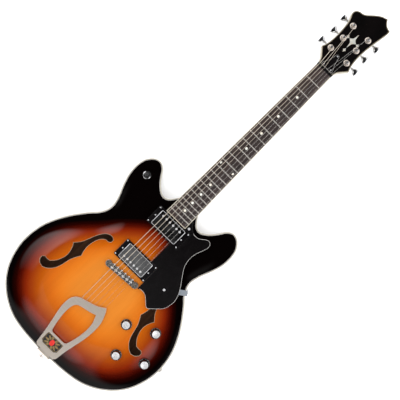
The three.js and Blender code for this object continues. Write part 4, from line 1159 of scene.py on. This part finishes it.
def knob(name):
    at = joint_place(f"{name}_knob_turn")
    body = f"{name}_knob"
    lathe(f"{name}_skirt", KNOB_SKIRT, BLACK_PLASTIC, 144, ripple=(36, 0.45, 6.8, 15.2), at=at, body=body,
          stands_for=[body], slot="black_plastic")
    lathe(f"{name}_cap", KNOB_CAP, SPUN_CAP, 64, at=at, body=body)
    tick = block((0.45, 1.3, 0.5), (0, 10.95, 5.0))
    ticks = [(*tick, shifted(at, 0, 0, 0, math.radians(30 * k - 150))) for k in range(11)]
    joined(f"{name}_ticks", ticks, WHITE_PLY, body=body)


def switch():
    lever_at = joint_place("switch_flip")
    pivot = lever_at.translation
    step = 4.0
    around_it = np.array([[step, 0], [-step, 0], [0, step], [0, -step]]) + pivot[:2]
    right, left, headward, tailward = top_height(around_it)
    off_top = Vector(((left - right) / (2 * step), (tailward - headward) / (2 * step), 1))
    at = place(pivot, off_top, z_of(lever_at))
    lathe("switch_ring", SWITCH_RING, CHROME, 96, ripple=(32, 0.4, 2.8, 4.7), at=at,
          stands_for=["switch_housing"], slot="chrome")
    body = "switch_lever"
    lathe("switch_shank", [(1.2, -5.5), (1.3, 8), (1.0, 8)], CHROME, 20, at=at, body=body)
    lathe("switch_tip", SWITCH_TIP, SATIN_BLACK, 40, at=at, body=body, stands_for=[body],
          slot="black_plastic")


def output_jack():
    middle = np.mean(extent("output_jack"), axis=0)
    at = place((OUTLINE[:, 0].max(), middle[1], middle[2]), ACROSS, (0, 1, 0))
    parts = [(*turned(profile, sides, hollow=True), at)
             for profile, sides in ((JACK_WASHER, 48), (JACK_NUT, 6), (JACK_LIP, 40))]
    joined("jack_socket", parts, WORN_NICKEL, stands_for=["output_jack"], slot="chrome")


def strap_button(end):
    mount = next(m for m in frame["record"]["mounts"] if m["name"] == f"strap_end_{end}")
    outward = Vector(mount["axis"])
    foot = Vector(mount["pos_m"]) / MM - outward * BUTTON_HEIGHT
    node = f"strap_button_{end}"
    lathe(f"{node}_turned", STRAP_BUTTON, CHROME, at=place(foot, outward), stands_for=[node], slot="chrome")


# ---- Strings

COIL_TURNS = 3
COIL_STEPS = 20  # to a turn
COIL_TOP = 6.2  # up the post
COIL_RADIUS = 2.75  # to the inside of the turns
COIL_PITCH = 0.75  # in wire widths, so the turns sink into each other a little
NUT_LENGTH = 5.6  # along the strings


def string(n):
    node = f"string_{n}"
    ahead_near, ahead_far, behind_near, behind_far = (
        section(node, (0, y, 0), (0, 1, 0))[0].mean(0) for y in (40, 600, -20, -60)
    )
    ahead = (ahead_far - ahead_near) / (ahead_far[1] - ahead_near[1])
    behind = (behind_far - behind_near) / (behind_far[1] - behind_near[1])
    gap = behind_near[2] - behind[2] * behind_near[1] - ahead_near[2] + ahead[2] * ahead_near[1]
    crest = ahead_near + ahead * (gap / (ahead[2] - behind[2]) - ahead_near[1])
    anchor = behind_near + behind * (extent(node)[0][1] + 0.3 - behind_near[1])
    at_nut = ahead_near + ahead * (BOARD_STOP[1] - ahead_near[1])
    radius = np.ptp(section(node, ahead_near, (0, 1, 0))[0][:, 0]) / 2
    at = POSTS[n]
    side = 1 if at.translation.x > 0 else -1
    reach = COIL_RADIUS + radius
    coil = []
    for k in range(COIL_TURNS * COIL_STEPS + 1):
        angle = 2 * math.pi * k / COIL_STEPS
        level = COIL_TOP - k / COIL_STEPS * (2 * radius + 0.1) * COIL_PITCH
        coil.append(np.array(at @ Vector((-side * reach * math.cos(angle), reach * math.sin(angle), level))))
    bends = [anchor, crest, at_nut, at_nut + ahead * NUT_LENGTH]
    path = []
    for a, b in zip(bends, bends[1:] + coil[:1]):
        count = 24 if np.linalg.norm(b - a) > 300 else 6
        path += [a + (b - a) * t for t in np.linspace(0, 1, count, endpoint=False)]
    material = WOUND_WIRE if n >= 4 else PLAIN_WIRE
    piece(f"{node}_wire", *tube(path + coil, radius), material, stands_for=[node], slot="string_steel",
          creases=60)


# ---- Floor, lights and camera

CAMERA_HEIGHT = 2.27
VIEW_WIDTH = 0.8741  # at the level of the strings
VIEW_CENTRE = (0.0071, 0.2324)
GUITAR_UP = math.radians(45.265)  # of the neck above the picture's horizontal
FLOOR_HALF = 6.0
FLOOR_CELLS = 24
FILL = 2.8  # overhead lamp, which glossy surfaces do not mirror

# What the lacquer mirrors, by slopes from straight up: across the neck and along it.
SIDES = 2.05  # brightness of the white walls beside the guitar
SIDES_FROM, SIDES_TO = -0.32, -0.02  # they brighten between these slopes along the neck
ENDS = 1.1  # and past its ends
PANEL = 0.15  # of the ceiling's faint middle panel, which runs to the tail
PANEL_EDGES = (0.55, 0.35)  # across, as parts of the dark part's half width
PANEL_TAIL = 0.4  # and its brighter end
HEAD_DIM = 0.04  # of the ceiling towards the head
TREBLE_SHARE = 0.94  # the dark part's reach to the treble side over the bass side's
DARK_MIDDLE = 0.012
DARK_HALF_WIDTH = 0.337
DARK_FLARE_FROM = 0.145  # it widens towards the head from this slope
DARK_FLARE = 2.8
DARK_WIDEST = 0.85
DARK_TAIL = 0.50
DARK_HEAD = 0.92  # across and along together


def floor():
    step = np.linspace(-FLOOR_HALF, FLOOR_HALF, FLOOR_CELLS + 1)
    row = FLOOR_CELLS + 1
    corners = [r * row + c for r in range(FLOOR_CELLS) for c in range(FLOOR_CELLS)]
    mesh = bpy.data.meshes.new("floor")
    faces = [[k, k + 1, k + 1 + row, k + row] for k in corners]
    mesh.from_pydata([(x, y, 0) for y in step for x in step], [], faces)
    mesh.materials.append(floor_white())
    linked("floor", mesh)


def camera():
    data = bpy.data.cameras.new("camera")
    data.sensor_width = 36
    data.lens = 36 * (CAMERA_HEIGHT - CAD_BOX[1].z) / VIEW_WIDTH
    data.clip_end = 50
    made = linked("camera", data)
    made.location = (*VIEW_CENTRE, CAMERA_HEIGHT)
    made.rotation_euler = (0, 0, math.pi / 2 - GUITAR_UP)
    bpy.context.scene.camera = made


def studio():
    """White walls and ends round a dark ceiling, so that flat lacquer stays deep, and a lamp overhead."""
    world = bpy.data.worlds.new("studio")
    world.use_nodes = True
    bpy.context.scene.world = world
    bpy.context.scene.view_settings.view_transform = "Standard"
    made = Graph(world.node_tree)
    math_node = made.math

    def rising(value, start, end, top, shape="SMOOTHSTEP"):
        return made.levels(value, 0.0, top, start, end, shape)

    direction = made.node("ShaderNodeTexCoord").outputs["Generated"]
    up = math_node("MAXIMUM", made.node("ShaderNodeSeparateXYZ", {"Vector": direction}).outputs["Z"], 0.02)
    height = made.node("ShaderNodeCombineXYZ", {"X": up, "Y": up, "Z": up}).outputs[0]
    tilt = made.vector_math("DIVIDE", direction, height)
    slopes = made.node("ShaderNodeSeparateXYZ", {"Vector": tilt}).outputs
    aside = math_node("SUBTRACT", slopes["X"], DARK_MIDDLE)
    past_flare = math_node("MAXIMUM", math_node("SUBTRACT", slopes["Y"], DARK_FLARE_FROM), 0.0)
    flare = math_node("MULTIPLY", past_flare, DARK_FLARE)
    bass_reach = math_node("MINIMUM", math_node("ADD", flare, DARK_HALF_WIDTH), DARK_WIDEST)
    to_bass = math_node("DIVIDE", math_node("MULTIPLY", aside, -1.0), bass_reach)
    to_treble = math_node("DIVIDE", aside, math_node("MULTIPLY", bass_reach, TREBLE_SHARE))
    across = math_node("MAXIMUM", to_bass, to_treble)
    tailward = math_node("MULTIPLY", slopes["Y"], -1 / DARK_TAIL)
    headward = math_node("MULTIPLY", math_node("ADD", slopes["X"], slopes["Y"]), 1 / DARK_HEAD)
    side_light = rising(slopes["Y"], SIDES_FROM, SIDES_TO, SIDES, "LINEAR")
    sides = math_node("MULTIPLY", rising(across, 0.94, 1.06, 1.0), side_light)
    ends = rising(math_node("MAXIMUM", tailward, headward), 0.92, 1.08, ENDS)
    in_panel = rising(math_node("DIVIDE", math_node("ABSOLUTE", aside), DARK_HALF_WIDTH), *PANEL_EDGES, 1.0)
    near, far = rising(tailward, 0.11, 0.16, PANEL), rising(tailward, 0.40, 0.50, PANEL_TAIL)
    panel = math_node("MULTIPLY", in_panel, math_node("MAXIMUM", near, far))
    ceiling = math_node("MAXIMUM", panel, rising(slopes["Y"], 0.2, 0.5, HEAD_DIM))
    light = math_node("MAXIMUM", math_node("MAXIMUM", sides, ends), ceiling)
    background = made.tree.nodes["Background"]
    background.inputs["Color"].default_value = (1, 1, 1, 1)
    made.feed(background.inputs["Strength"], light)

    lamp = bpy.data.lights.new("fill", "SUN")
    lamp.energy = FILL
    lamp.angle = math.radians(70)
    linked("fill", lamp).visible_glossy = False


# ---- All of it

body_shell()
fingerboard()
neck_shaft()
headstock()
tuners()
pickup("neck", 1)
pickup("bridge", -1)
bridge()
tailpiece()
pickguard()
for which in ("neck_volume", "neck_tone", "bridge_volume", "bridge_tone"):
    knob(which)
switch()
output_jack()
for which in ("tail", "heel"):
    strap_button(which)
for which in POSTS:
    string(which)
for which, inner in (("centre_block", RAW_WOOD), ("truss_rod", PLAIN_WIRE), ("control_harness", WORN_NICKEL)):
    kept = frame["nodes"][which].data.materials
    kept.clear()
    kept.append(inner)
floor()
camera()
studio()
